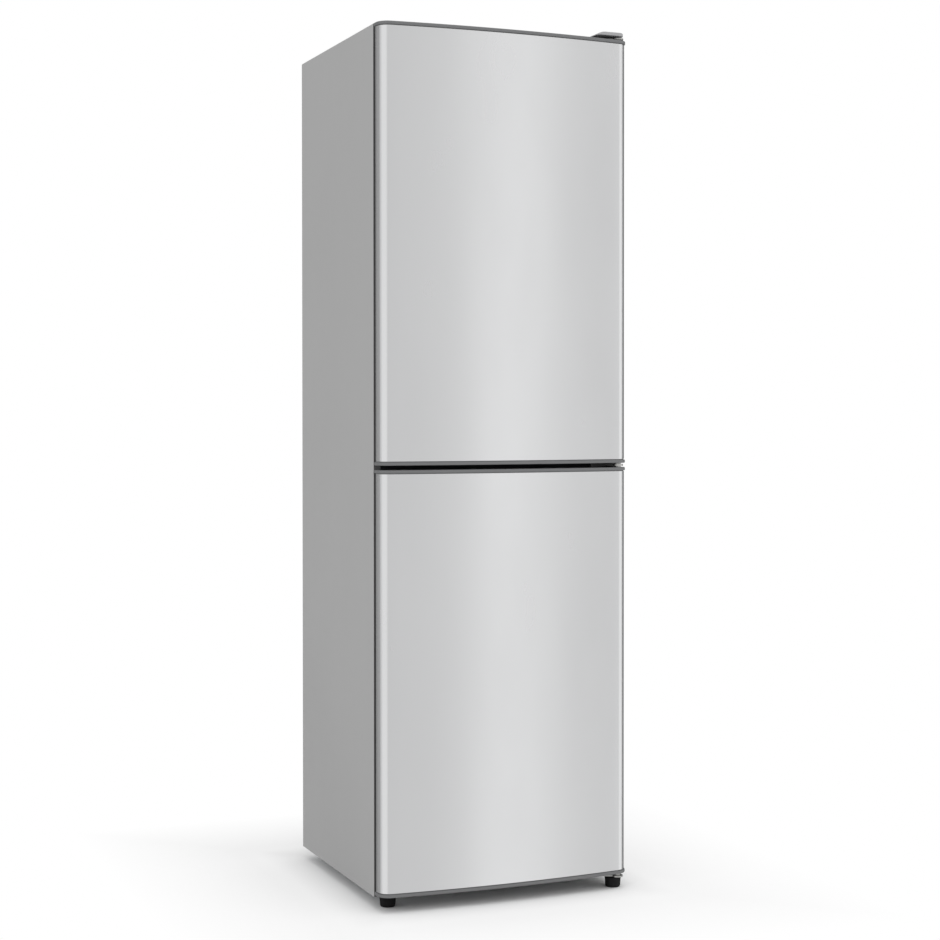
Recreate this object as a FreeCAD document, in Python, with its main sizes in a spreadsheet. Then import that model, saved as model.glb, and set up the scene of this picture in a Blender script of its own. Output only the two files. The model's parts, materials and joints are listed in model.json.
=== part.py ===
import FreeCAD, Part
import math
import os
import Sketcher

# Two-door refrigerator: fridge compartment above, freezer compartment below,
# bowed doors hinged on the right. X points right, the doors face -Y, Z points up.
# The origin is on the floor, at the middle of the whole outline seen from above.

doc = FreeCAD.newDocument("Refrigerator")
sheet = doc.addObject("Spreadsheet::Sheet", "dims")

# Driving sizes in millimetres and, where the name says so, counts or shares
SIZES = (
    ("cabinet_width", "540", "outer width of the cabinet and of the door skins"),
    ("cabinet_height", "1725", "cabinet from its bottom panel to its roof"),
    ("cabinet_depth", "472", "cabinet from its front face to its back panel"),
    ("base_clearance", "25", "floor to cabinet bottom"),
    ("steel_sheet", "0.8", "painted steel of wrap, doors and back"),
    ("wrap_bend", "4", "outer radius of the wrap at the roof edges"),
    ("wrap_return", "14", "wrap folded inwards round the front"),
    ("swage_height", "3", "stiffening ribs of the back panel"),
    ("swage_width", "30", "stiffening ribs of the back panel"),
    ("swage_share", "0.665", "outer ribs of the back panel, as a share of the half width"),
    ("liner_sheet", "1.5", "formed plastic liners"),
    ("fridge_wall", "45", "side wall of the fridge compartment"),
    ("fridge_roof_wall", "48", "insulation over the fridge compartment"),
    ("fridge_back_wall", "46", "insulation behind the fridge compartment"),
    ("freezer_wall", "58", "side wall of the freezer compartment"),
    ("freezer_back_wall", "64", "insulation behind the freezer compartment"),
    ("freezer_floor_wall", "62", "insulation below the freezer compartment"),
    ("freezer_step_wall", "40", "insulation over the compressor compartment"),
    ("divider_wall", "64", "insulation between the two compartments"),
    ("liner_corner", "14", "rounded corners of the fridge liner"),
    ("rail_height", "40", "front rail between the compartments"),
    ("rail_flange", "12", "depth of the front rail's flanges"),
    ("ledge_depth", "9", "moulded ledges under the shelves"),
    ("ledge_height", "6", "moulded ledges under the shelves"),
    ("machine_depth", "190", "compressor compartment, from the back"),
    ("machine_height", "210", "compressor compartment"),
    ("bottom_sheet", "1", "bent panel under the insulation"),
    ("door_top_drop", "2.5", "upper door below the cabinet roof"),
    ("upper_door_height", "868", "upper door with its end caps"),
    ("door_gap", "9", "gap between the doors"),
    ("door_bottom_rise", "6", "lower door above the cabinet bottom"),
    ("gasket_gap", "8", "cabinet face to the back of the doors"),
    ("door_edge", "32", "door thickness at its side edges"),
    ("door_bow", "15", "crown of the bowed door front"),
    ("door_corner", "24", "rounding of the door's vertical edges"),
    ("cap_height", "8", "door end caps"),
    ("cap_lip", "2", "end caps proud of the skin"),
    ("cap_bevel", "1.6", "bevelled rim of the end caps"),
    ("skin_hem", "5", "skin edge in front of the door's back"),
    ("door_liner_inset", "3", "door liner inside the skin's outline"),
    ("upper_dyke", "36", "rim of the upper door liner"),
    ("lower_plateau", "14", "raised field of the lower door liner"),
    ("dyke_width", "26", "width of the upper liner's rim"),
    ("dyke_play", "11", "side play of the door liners in the compartments"),
    ("dyke_corner", "24", "rounded corners of the door liners"),
    ("gasket_inset", "18", "gasket edge from the door's side"),
    ("gasket_width", "17", "foot of the door gasket"),
    ("gasket_foot", "2.5", "foot of the door gasket"),
    ("magnet_width", "10", "magnet tube of the door gasket"),
    ("gasket_corner", "10", "gasket corners"),
    ("hinge_inset", "16", "hinge axis from the cabinet's side"),
    ("hinge_setback", "27", "hinge axis in front of the cabinet face"),
    ("pin_radius", "4", "hinge pins"),
    ("pin_play", "0.08", "radial running play of pins and screws"),
    ("pin_reach", "7", "hinge pin inside the end cap"),
    ("bush_wall", "2.5", "nylon hinge bushes"),
    ("seat_play", "0.1", "play of a pressed or glued round seat"),
    ("hinge_plate", "3", "steel of the top and bottom hinges"),
    ("middle_plate", "4", "steel of the middle hinge"),
    ("hinge_nose", "11", "round nose of the hinge plates"),
    ("hinge_span", "50", "hinge plates to the left of the axis"),
    ("hinge_back", "48", "top and bottom hinge plates behind the face"),
    ("middle_flange", "34", "height of the middle hinge's flange"),
    ("flange_margin", "2", "screws of the middle hinge nearer to its flange's ends"),
    ("washer_radius", "6.5", "shoulder under the top hinge plate"),
    ("cover_top", "17", "hinge cover above the cabinet roof"),
    ("cover_under", "6", "hinge cover above the roof where it overhangs"),
    ("cover_ramp", "20", "sloping left side of the hinge cover"),
    ("cover_wall", "1.6", "wall of the hinge cover"),
    ("cover_round", "4", "rounding of the hinge cover"),
    ("cover_margin", "4", "hinge cover beyond the hinge plate"),
    ("cover_tail", "12", "hinge cover to the left of the hinge plate"),
    ("screw_head_radius", "4.5", "hinge screws"),
    ("screw_head_height", "2.5", "hinge screws"),
    ("screw_spacing", "22", "hinge screws"),
    ("screw_radius", "2.5", "hinge screws"),
    ("door_float", "0.3", "hinge shoulders and pin ends to the doors"),
    ("foot_radius", "15", "levelling feet"),
    ("foot_toe_radius", "13", "levelling feet at the floor"),
    ("foot_height", "21.5", "levelling feet below the stem"),
    ("foot_bevel", "2.5", "bevelled edge at the floor"),
    ("foot_sides", "16", "flats round the levelling feet"),
    ("foot_stem_radius", "4", "threaded stem of the feet"),
    ("foot_stem_over", "22", "stem inside the cabinet"),
    ("foot_stem_stub", "3", "stem above the bottom hinge plate"),
    ("left_foot_inset", "34", "left foot from the cabinet's side"),
    ("left_foot_setback", "16", "left foot behind the cabinet face"),
    ("right_foot_inset", "22", "right foot from the cabinet's side"),
    ("right_foot_forward", "17", "right foot in front of the cabinet face"),
    ("roller_radius", "12", "rear rollers"),
    ("roller_width", "14", "rear rollers"),
    ("roller_inset", "70", "rear rollers from the cabinet's side"),
    ("roller_setback", "40", "rear rollers from the back"),
    ("axle_radius", "2.5", "roller axles"),
    ("ear_sheet", "2", "roller brackets"),
    ("ear_play", "1", "roller to its bracket"),
    ("axle_reach", "1", "axle ends outside the brackets"),
    ("mount_radius", "9", "rubber mounts of the compressor"),
    ("mount_height", "14", "rubber mounts of the compressor"),
    ("mount_groove", "2", "groove of the rubber mounts"),
    ("mount_spacing_x", "130", "rubber mounts"),
    ("mount_spacing_y", "90", "rubber mounts"),
    ("compressor_radius", "68", "compressor pot"),
    ("compressor_height", "146", "compressor pot"),
    ("compressor_seam", "4", "welded flange round the pot"),
    ("compressor_plate", "3", "feet of the compressor"),
    ("compressor_setback", "98", "compressor axis from the back"),
    ("terminal_reach", "76", "terminal boss from the compressor axis"),
    ("terminal_level", "78", "terminals above the compressor's feet"),
    ("terminal_width", "34", "terminal boss"),
    ("relay_width", "36", "start relay box"),
    ("relay_depth", "52", "start relay box"),
    ("relay_height", "64", "start relay box"),
    ("gland_radius", "7", "inlet gland of the relay box"),
    ("gland_bore", "3.5", "inlet gland of the relay box"),
    ("gland_length", "12", "inlet gland of the relay box"),
    ("tray_width", "150", "evaporation tray"),
    ("tray_depth", "116", "evaporation tray"),
    ("tray_height", "26", "evaporation tray"),
    ("tray_wall", "1.8", "evaporation tray"),
    ("tray_boss", "40", "radius of the flat seat on top of the compressor"),
    ("drain_radius", "6", "drain pipe"),
    ("drain_bore", "4.6", "drain pipe"),
    ("drain_dip", "14", "drain pipe above the tray floor"),
    ("condenser_gap", "20", "condenser tube from the back panel"),
    ("tube_radius", "2.5", "condenser tube"),
    ("wire_radius", "0.8", "condenser wires"),
    ("condenser_inset", "56", "condenser ends from the cabinet's sides"),
    ("condenser_foot", "52", "condenser above the compressor compartment"),
    ("tube_pitch", "76", "condenser tube runs"),
    ("tube_run_count", "17", "condenser tube runs"),
    ("wire_pitch", "18", "condenser wires"),
    ("wire_count", "19", "condenser wires"),
    ("wire_air", "0.05", "wires short of the tube they are welded to"),
    ("wire_over", "16", "wires beyond the outer tube runs"),
    ("clip_width", "12", "condenser clips"),
    ("clip_height", "30", "condenser clips"),
    ("clip_inset", "40", "condenser clips from the tube bends"),
    ("tube_play", "0.3", "clip to the tube"),
    ("pot_sides", "18", "flats that stand for large rounds"),
    ("stem_sides", "12", "flats that stand for small rounds"),
    ("tube_sides", "8", "flats that stand for the round of tubes and screws"),
    ("wire_sides", "6", "flats that stand for the round of wires"),
    ("bend_flats", "3", "straight pieces in a quarter bend of a tube"),
    ("pipe_radius", "3", "copper pipe to the condenser"),
    ("pipe_bend", "14", "bends of the copper pipe"),
    ("pipe_height", "90", "copper pipe above the compressor plate"),
    ("pipe_stub", "8", "pipe stub of the compressor"),
    ("pipe_run", "40", "copper pipe between its last bend and the compressor"),
    ("drier_radius", "8", "filter drier on the copper pipe"),
    ("drier_length", "60", "filter drier on the copper pipe"),
    ("plate_thickness", "1.6", "evaporator plates"),
    ("plate_margin", "40", "evaporator plates inside the liner's edges"),
    ("shelf_glass", "4", "glass shelves"),
    ("shelf_play", "1.5", "side play of the glass shelves"),
    ("shelf_setback", "88", "front edge of the glass shelves"),
    ("shelf_rear_gap", "6", "glass shelves to the back of the liner"),
    ("first_shelf", "200", "crisper cover above the fridge floor"),
    ("top_bay", "142", "free height over the highest glass shelf"),
    ("trim_height", "12", "plastic trims of the glass shelves"),
    ("trim_depth", "9", "plastic trims of the glass shelves"),
    ("crisper_height", "176", "crisper drawer"),
    ("crisper_rear_gap", "12.5", "crisper drawer to the back edge of its cover"),
    ("drawer_play", "5", "side play of the drawers"),
    ("drawer_lift", "0.5", "drawers over what they rest on"),
    ("drawer_wall", "2.2", "drawers"),
    ("drawer_corner", "14", "rounded corners of the drawers"),
    ("drawer_draft", "5", "drawers narrower at the bottom, on each side"),
    ("drawer_setback", "34", "freezer drawer fronts behind the cabinet face"),
    ("drawer_rear_gap", "8", "freezer drawers to the back of the liner"),
    ("drawer_front", "6", "drawer fronts"),
    ("drawer_headroom", "12", "free height over the freezer drawers"),
    ("grip_height", "26", "finger recess in the drawer fronts"),
    ("grip_width", "150", "finger recess in the drawer fronts"),
    ("grip_drop", "22", "finger recess below the drawer's rim"),
    ("basket_share", "0.8", "height of the drawer walls to their fronts"),
    ("balcony_depth", "78", "door balconies"),
    ("balcony_wall", "2.2", "door balconies"),
    ("balcony_corner", "22", "front corners of the balconies"),
    ("balcony_height", "66", "door balconies"),
    ("bottle_height", "98", "lowest door balcony"),
    ("balcony_play", "1.5", "side play of the balconies"),
    ("bottle_level", "20", "lowest balcony above the liner's rim"),
    ("balcony_headroom", "128", "free height over the highest balcony"),
    ("lug_depth", "20", "lugs that carry the balconies"),
    ("lug_height", "8", "lugs that carry the balconies"),
    ("lug_reach", "7", "lugs that carry the balconies"),
    ("housing_width", "236", "control housing"),
    ("housing_depth", "96", "control housing"),
    ("housing_height", "36", "control housing"),
    ("housing_slope", "14", "slanting front of the control housing"),
    ("housing_wall", "3", "control housing"),
    ("housing_setback", "96", "control housing behind the cabinet face"),
    ("lamp_bay", "86", "lamp recess of the control housing"),
    ("lamp_radius", "10", "lamp"),
    ("lamp_base", "7", "lamp"),
    ("lamp_neck", "12", "lamp"),
    ("lamp_length", "62", "lamp"),
    ("knob_radius", "17", "thermostat knob"),
    ("knob_height", "13", "thermostat knob"),
    ("knob_grip", "6", "bar across the thermostat knob"),
    ("knob_offset", "66", "thermostat knob right of the middle"),
    ("spindle_radius", "3", "thermostat spindle"),
    ("spindle_length", "9", "thermostat spindle"),
    ("switch_radius", "3", "door switch plunger"),
    ("switch_length", "30", "door switch plunger"),
    ("switch_air", "0.3", "plunger to the closed door"),
    ("switch_level", "5.5", "door switch above the fridge compartment"),
    ("switch_offset", "110", "door switch right of the middle"),
    ("overrun", "5", "cutting tools beyond what they cut"),
)

for row, (alias, number, meaning) in enumerate(SIZES, start=1):
    sheet.set("A%d" % row, meaning)
    sheet.set("B%d" % row, number)
    sheet.setAlias("B%d" % row, alias)
doc.recompute()


class Size:
    """A length that knows its number and the expression that gives it from the sheet."""

    def __init__(self, value, text):
        self.value = value
        self.text = text

    def combine(self, other, sign, value):
        return Size(value, "(%s %s %s)" % (self.text, sign, other.text))

    def __add__(self, other):
        other = as_size(other)
        return self.combine(other, "+", self.value + other.value)

    def __sub__(self, other):
        other = as_size(other)
        return self.combine(other, "-", self.value - other.value)

    def __mul__(self, other):
        other = as_size(other)
        return self.combine(other, "*", self.value * other.value)

    def __truediv__(self, other):
        other = as_size(other)
        return self.combine(other, "/", self.value / other.value)

    def __neg__(self):
        return Size(-self.value, "(0 - %s)" % self.text)

    def root(self):
        return Size(math.sqrt(self.value), "sqrt(%s)" % self.text)


class Sizes:
    """The named sizes of the sheet, as attributes."""


def as_size(thing):
    if isinstance(thing, Size):
        return thing
    text = repr(thing) if thing >= 0 else "(0 - %r)" % -thing
    return Size(float(thing), text)


d = Sizes()
for alias, number, meaning in SIZES:
    setattr(d, alias, Size(float(sheet.get(alias)), "dims." + alias))

ZERO = as_size(0)
X = FreeCAD.Vector(1, 0, 0)
Y = FreeCAD.Vector(0, 1, 0)
Z = FreeCAD.Vector(0, 0, 1)
nodes = {}


# Helpers: every size is bound to the sheet by its expression


def bind(item, prop, size):
    size = as_size(size)
    target = item
    steps = prop.split(".")
    if len(steps) == 1:
        setattr(target, prop, size.value)
    item.setExpression(prop, size.text)


def place(item, x, y, z):
    for axis, size in (("x", x), ("y", y), ("z", z)):
        bind(item, "Placement.Base." + axis, size)
    return item


def node(label, item):
    item.Label = label
    nodes[label] = item
    return item


def new_body(label):
    return node(label, doc.addObject("PartDesign::Body", label))


def origin_plane(body, plane):
    for feature in body.Origin.OriginFeatures:
        if feature.Role == plane + "_Plane":
            return feature
    raise ValueError(plane)


def flat(size_x, size_y):
    return FreeCAD.Vector(size_x.value, size_y.value, 0)


def add_circle(sketch, x, y, radius):
    circle = Part.Circle(flat(x, y), FreeCAD.Vector(0, 0, 1), radius.value)
    edge = sketch.addGeometry(circle, False)
    for kind, size in (("DistanceX", x), ("DistanceY", y)):
        index = sketch.addConstraint(Sketcher.Constraint(kind, -1, 1, edge, 3, size.value))
        sketch.setExpression("Constraints[%d]" % index, size.text)
    index = sketch.addConstraint(Sketcher.Constraint("Radius", edge, radius.value))
    sketch.setExpression("Constraints[%d]" % index, radius.text)


def add_edge(sketch, corner, start, stop):
    """Adds the line or arc that leaves this corner, and says which of its ends is which."""
    if len(corner) == 2:
        return sketch.addGeometry(Part.LineSegment(start, stop), False), 1, 2
    centre = flat(corner[2], corner[3])
    circle = Part.Circle(centre, FreeCAD.Vector(0, 0, 1), corner[4].value)
    first = math.atan2(start.y - centre.y, start.x - centre.x)
    last = math.atan2(stop.y - centre.y, stop.x - centre.x)
    turn = (last - first + math.pi) % (2 * math.pi) - math.pi
    if turn > 0:
        return sketch.addGeometry(Part.ArcOfCircle(circle, first, first + turn), False), 1, 2
    return sketch.addGeometry(Part.ArcOfCircle(circle, last, last - turn), False), 2, 1


def add_loop(sketch, loop):
    """A closed outline. A corner is (x, y), or (x, y, centre x, centre y, radius) where an arc leaves it."""
    count = len(loop)
    edges = []
    for k, corner in enumerate(loop):
        following = loop[(k + 1) % count]
        edges.append(add_edge(sketch, corner, flat(*corner[:2]), flat(*following[:2])))
    for k, corner in enumerate(loop):
        edge, head, tail = edges[k]
        after, after_head, after_tail = edges[(k + 1) % count]
        sketch.addConstraint(Sketcher.Constraint("Coincident", edge, tail, after, after_head))
        for kind, size in (("DistanceX", corner[0]), ("DistanceY", corner[1])):
            index = sketch.addConstraint(Sketcher.Constraint(kind, -1, 1, edge, head, size.value))
            sketch.setExpression("Constraints[%d]" % index, size.text)
        if len(corner) == 5:
            index = sketch.addConstraint(Sketcher.Constraint("Radius", edge, corner[4].value))
            sketch.setExpression("Constraints[%d]" % index, corner[4].text)


def sketch_on(body, plane, at, loops, name):
    """Sketch coordinates are X and Y on XY, X and Z on XZ, Y and Z on YZ."""
    sketch = body.newObject("Sketcher::SketchObject", name)
    sketch.AttachmentSupport = [(origin_plane(body, plane), "")]
    sketch.MapMode = "FlatFace"
    at = as_size(at)
    offset = -at if plane == "XZ" else at
    sketch.AttachmentOffset = FreeCAD.Placement(FreeCAD.Vector(0, 0, offset.value), FreeCAD.Rotation())
    sketch.setExpression("AttachmentOffset.Base.z", offset.text)
    for loop in loops:
        if len(loop) == 3 and isinstance(loop[0], Size):
            add_circle(sketch, *loop)
        else:
            add_loop(sketch, loop)
    sketch.Visibility = False
    return sketch


def pad(body, plane, start, stop, loops):
    """Adds material from start to stop along the plane's normal axis."""
    name = "%s_pad%d" % (body.Name, len(body.Group))
    sketch = sketch_on(body, plane, start, loops, name + "_sketch")
    feature = body.newObject("PartDesign::Pad", name)
    feature.Profile = sketch
    bind(feature, "Length", stop - start)
    feature.Reversed = plane == "XZ"
    return feature


def pocket(body, plane, start, stop, loops):
    """Cuts from start to stop along the plane's normal axis."""
    name = "%s_pocket%d" % (body.Name, len(body.Group))
    sketch = sketch_on(body, plane, start, loops, name + "_sketch")
    feature = body.newObject("PartDesign::Pocket", name)
    feature.Profile = sketch
    bind(feature, "Length", stop - start)
    feature.Reversed = plane != "XZ"
    return feature


def drafted(feature, draft, height):
    """Lets a pad or pocket widen by the draft on each side over its height."""
    angle = math.degrees(math.atan(draft.value / height.value))
    bind(feature, "TaperAngle", Size(angle, "atan(%s / %s)" % (draft.text, height.text)))


def level_edge(limits, z):
    """True for the limits of an edge that lies flat at this height."""
    return max(abs(limits.ZMin - z.value), abs(limits.ZMax - z.value)) < d.wire_air.value


def edge_names(feature, chosen):
    doc.recompute()
    return ["Edge%d" % number for number, edge in enumerate(feature.Shape.Edges, start=1)
            if chosen(edge.BoundBox)]


def bevel(body, feature, size, chosen):
    """Cuts the edges of a feature whose limits pass the test at 45 degrees."""
    cut = body.newObject("PartDesign::Chamfer", "%s_bevel%d" % (body.Name, len(body.Group)))
    cut.Base = (feature, edge_names(feature, chosen))
    bind(cut, "Size", size)
    return cut


def rect(x0, x1, y0, y1):
    return [(x0, y0), (x1, y0), (x1, y1), (x0, y1)]


def round_rect(x0, x1, y0, y1, r):
    return [(x0 + r, y0), (x1 - r, y0, x1 - r, y0 + r, r),
            (x1, y0 + r), (x1, y1 - r, x1 - r, y1 - r, r),
            (x1 - r, y1), (x0 + r, y1, x0 + r, y1 - r, r),
            (x0, y1 - r), (x0, y0 + r, x0 + r, y0 + r, r)]


# Two points of a quarter round in three flats, as shares of its radius from the square corner
FLAT_SHARES = (0.134, 0.5)


def flat_cornered(x0, x1, y0, y1, r):
    """As a rounded rectangle, with three flats at each corner."""
    near, far = r * FLAT_SHARES[0], r * FLAT_SHARES[1]
    return [(x0 + r, y0), (x1 - r, y0), (x1 - far, y0 + near), (x1 - near, y0 + far),
            (x1, y0 + r), (x1, y1 - r), (x1 - near, y1 - far), (x1 - far, y1 - near),
            (x1 - r, y1), (x0 + r, y1), (x0 + far, y1 - near), (x0 + near, y1 - far),
            (x0, y1 - r), (x0, y0 + r), (x0 + near, y0 + far), (x0 + far, y0 + near)]


def turns(sides):
    """Cosine and sine of each corner of a many-sided form."""
    count = int(sides.value)
    return [(math.cos(2 * math.pi * k / count), math.sin(2 * math.pi * k / count)) for k in range(count)]


def sided(x, y, radius, sides):
    """A circle's outline in flats, with its corners at the radius."""
    return [(x + radius * round(c, 6), y + radius * round(s, 6)) for c, s in turns(sides)]


def grown(limits, by):
    x0, x1, y0, y1 = limits
    return (x0 - by, x1 + by, y0 - by, y1 + by)


def block(x0, x1, y0, y1, z0, z1, name="block"):
    item = doc.addObject("Part::Box", name)
    bind(item, "Length", x1 - x0)
    bind(item, "Width", y1 - y0)
    bind(item, "Height", z1 - z0)
    return place(item, x0, y0, z0)


TURNS = {"X": FreeCAD.Rotation(FreeCAD.Vector(0, 1, 0), 90),
         "Y": FreeCAD.Rotation(FreeCAD.Vector(1, 0, 0), -90),
         "Z": FreeCAD.Rotation()}


def rod(axis, x, y, z, radius, length, name="rod"):
    """A cylinder that starts at the point and runs along plus axis."""
    item = doc.addObject("Part::Cylinder", name)
    bind(item, "Radius", radius)
    bind(item, "Height", length)
    item.Placement = FreeCAD.Placement(FreeCAD.Vector(0, 0, 0), TURNS[axis])
    return place(item, x, y, z)


def prism(axis, x, y, z, radius, length, sides, name="prism"):
    """As a rod, with flat sides whose corners lie at the radius."""
    item = doc.addObject("Part::Prism", name)
    item.Polygon = int(sides.value)
    bind(item, "Circumradius", radius)
    bind(item, "Height", length)
    item.Placement = FreeCAD.Placement(FreeCAD.Vector(0, 0, 0), TURNS[axis])
    return place(item, x, y, z)


def hull(rings, name="hull"):
    """A solid with flat faces through rings of corners, closed by the first and the last."""
    faces = [Part.Face(Part.makePolygon(ring + ring[:1])) for ring in (rings[0], rings[-1])]
    for low, high in zip(rings, rings[1:]):
        for k in range(len(low)):
            faces.append(Part.Face(Part.makePolygon([low[k - 1], low[k], high[k], high[k - 1], low[k - 1]])))
    item = doc.addObject("Part::Feature", name)
    item.Shape = Part.Solid(Part.Shell(faces))
    if item.Shape.Volume < 0:
        item.Shape = item.Shape.reversed()
    return item


def turned(section, sides, name="turned"):
    """A form turned round the Z axis, in flats, from its radii and heights."""
    rings = [[FreeCAD.Vector(c * radius.value, s * radius.value, level.value) for c, s in turns(sides)]
             for radius, level in section]
    return hull(rings, name)


def spot(x, y, z):
    return FreeCAD.Vector(x.value, y.value, z.value)


def bend(centre, start, side, radius, quarters):
    """Points of a tube's bend: where its first end lies from the centre, and the way it turns."""
    count = int(d.bend_flats.value) * quarters
    angles = [math.pi / 2 * quarters * k / count for k in range(count + 1)]
    return [centre + (start * math.cos(a) + side * math.sin(a)) * radius.value for a in angles]


def tube(points, radius, name="tube"):
    """A tube in flats along the points, mitred at each of them."""
    steps = [(after - before).normalize() for before, after in zip(points, points[1:])]
    side = Y if abs(steps[0].y) < abs(steps[0].z) else Z
    across = side.cross(steps[0])
    ring = [points[0] + (side * c + across * s) * radius.value for c, s in turns(d.tube_sides)]
    rings = [ring]
    for point, step, following in zip(points[1:], steps, steps[1:] + steps[-1:]):
        mitre = step + following
        ring = [corner + step * ((point - corner).dot(mitre) / step.dot(mitre)) for corner in ring]
        rings.append(ring)
    return hull(rings, name)


def joined(items, name="group"):
    item = doc.addObject("Part::MultiFuse", name)
    item.Shapes = items
    return item


def without(base, tool, name="cut"):
    item = doc.addObject("Part::Cut", name)
    item.Base = base
    item.Tool = tool
    return item


# Places worked out from the sizes

half = d.cabinet_width / 2
door_reach = d.gasket_gap + d.door_edge + d.door_bow + d.cap_lip
rear_reach = d.condenser_gap + d.tube_radius * 2 + d.wire_radius * 2 + d.wire_air
face_y = door_reach - (door_reach + d.cabinet_depth + rear_reach) / 2
back_y = face_y + d.cabinet_depth
floor_z = d.base_clearance
roof_z = floor_z + d.cabinet_height
inner_half = half - d.steel_sheet
swage_x = half * d.swage_share

upper_top = roof_z - d.door_top_drop
upper_bottom = upper_top - d.upper_door_height
lower_top = upper_bottom - d.door_gap
lower_bottom = floor_z + d.door_bottom_rise
gap_z = (upper_bottom + lower_top) / 2

door_back = face_y - d.gasket_gap
skin_back = door_back - d.skin_hem
liner_front = door_back - d.liner_sheet
hinge_x = half - d.hinge_inset
hinge_y = face_y - d.hinge_setback
bore_radius = d.pin_radius + d.pin_play

# Compartments: the outside of each liner, and the free space inside it
fridge_half = half - d.fridge_wall
fridge_floor = gap_z + d.divider_wall / 2
fridge_roof = roof_z - d.fridge_roof_wall
fridge_back = back_y - d.fridge_back_wall
fridge_box = (-fridge_half, fridge_half, fridge_floor, fridge_roof)
fridge_room = grown(fridge_box, -d.liner_sheet)
freezer_half = half - d.freezer_wall
freezer_roof = gap_z - d.divider_wall / 2
freezer_floor = floor_z + d.freezer_floor_wall
freezer_back = back_y - d.freezer_back_wall
machine_y = back_y - d.machine_depth
machine_z = floor_z + d.machine_height
step_y = machine_y - d.freezer_step_wall
step_z = machine_z + d.freezer_step_wall
rail_low = gap_z - d.rail_height / 2
rail_high = gap_z + d.rail_height / 2
face_frame = (-half + d.wrap_return, half - d.wrap_return, floor_z, roof_z - d.wrap_return)

ceiling = fridge_roof - d.liner_sheet
crisper_level = fridge_floor + d.liner_sheet + d.first_shelf
shelf_pitch = (ceiling - d.top_bay - crisper_level) / 3
shelf_levels = [crisper_level + shelf_pitch * k for k in range(4)]
shelf_front = face_y + d.shelf_setback
shelf_back = fridge_back - d.liner_sheet - d.shelf_rear_gap
shelf_half = fridge_half - d.liner_sheet - d.shelf_play
freezer_shelf_low = step_z + d.liner_sheet
freezer_bay = (freezer_roof - d.liner_sheet - freezer_shelf_low - d.shelf_glass) / 3
freezer_levels = [freezer_shelf_low + freezer_bay * k for k in range(3)]
freezer_shelf_half = freezer_half - d.liner_sheet - d.shelf_play
drawer_y = face_y + d.drawer_setback

# Small parts
left_foot_x = -half + d.left_foot_inset
left_foot_y = face_y + d.left_foot_setback
right_foot_x = half - d.right_foot_inset
right_foot_y = face_y - d.right_foot_forward
roller_x = half - d.roller_inset
roller_y = back_y - d.roller_setback
shelf_top = floor_z + d.steel_sheet * 2
run_half = half - d.condenser_inset - d.tube_pitch / 2
compressor_x = d.pipe_run + d.pipe_stub + d.compressor_radius - run_half
compressor_y = back_y - d.compressor_setback
drain_x = compressor_x
drain_y = back_y - (d.fridge_back_wall + d.freezer_back_wall) / 2
switch_z = fridge_roof + d.switch_level
fridge_plate = grown((-fridge_half, fridge_half, shelf_levels[0], fridge_roof), -d.plate_margin)
freezer_plate = grown((-freezer_half, freezer_half, step_z, freezer_roof), -d.plate_margin)
compressor_z = shelf_top + (d.mount_height - d.compressor_plate) / 2
condenser_y = back_y + d.condenser_gap + d.tube_radius
condenser_z = machine_z + d.condenser_foot
housing_y = face_y + d.housing_setback
lamp_wall = d.lamp_bay - d.housing_width / 2 + d.housing_wall * 2
knob_y = housing_y + (d.housing_depth + d.housing_slope) / 2
bar_half = d.knob_radius - d.knob_grip / 3
screw_y = face_y + d.hinge_back / 2
flange_screw = d.middle_flange / 4 + d.flange_margin

# Raised ring of the upper door liner, raised field of the lower one, and the balconies
dyke_box = grown(fridge_room, -d.dyke_play)
dyke_inner = grown(dyke_box, -d.dyke_width)
plateau_box = (-freezer_half, freezer_half, freezer_floor, freezer_roof)
plateau_box = grown(plateau_box, -d.liner_sheet - d.dyke_play)
balcony_low = dyke_inner[2] + d.bottle_level
balcony_pitch = (dyke_inner[3] - d.balcony_headroom - d.balcony_height - balcony_low) / 2
balcony_levels = [balcony_low + balcony_pitch * k for k in range(3)]

# The bowed front: one large arc between two corner roundings
crown_y = door_back - d.door_edge - d.door_bow
bow_radius = (half * half + d.door_bow * d.door_bow) / (d.door_bow * 2)
bow_centre = crown_y + bow_radius
corner_x = half - d.door_corner
bow_leg = (bow_radius - d.door_corner) * (bow_radius - d.door_corner) - corner_x * corner_x
corner_y = bow_centre - bow_leg.root()


def bow_points(offset):
    """Where the bow meets the corner roundings, on the outline moved outwards by the offset."""
    share = (bow_radius + offset) / (bow_radius - d.door_corner)
    return corner_x * share, bow_centre - (bow_centre - corner_y) * share


def door_outline(offset, rear):
    meet_x, meet_y = bow_points(offset)
    side = half + offset
    r = d.door_corner + offset
    return [(-side, rear), (-side, corner_y, -corner_x, corner_y, r),
            (-meet_x, meet_y, ZERO, bow_centre, bow_radius + offset),
            (meet_x, meet_y, corner_x, corner_y, r), (side, corner_y), (side, rear)]


def skin_outline(wall, rear):
    """The bent sheet seen from above: the outer line one way, the inner line back."""
    out_x, out_y = bow_points(ZERO)
    in_x, in_y = bow_points(-wall)
    side = half - wall
    r = d.door_corner
    return [(-half, rear), (-half, corner_y, -corner_x, corner_y, r),
            (-out_x, out_y, ZERO, bow_centre, bow_radius),
            (out_x, out_y, corner_x, corner_y, r), (half, corner_y), (half, rear),
            (side, rear), (side, corner_y, corner_x, corner_y, r - wall),
            (in_x, in_y, ZERO, bow_centre, bow_radius - wall),
            (-in_x, in_y, -corner_x, corner_y, r - wall), (-side, corner_y), (-side, rear)]


# Cabinet


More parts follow.
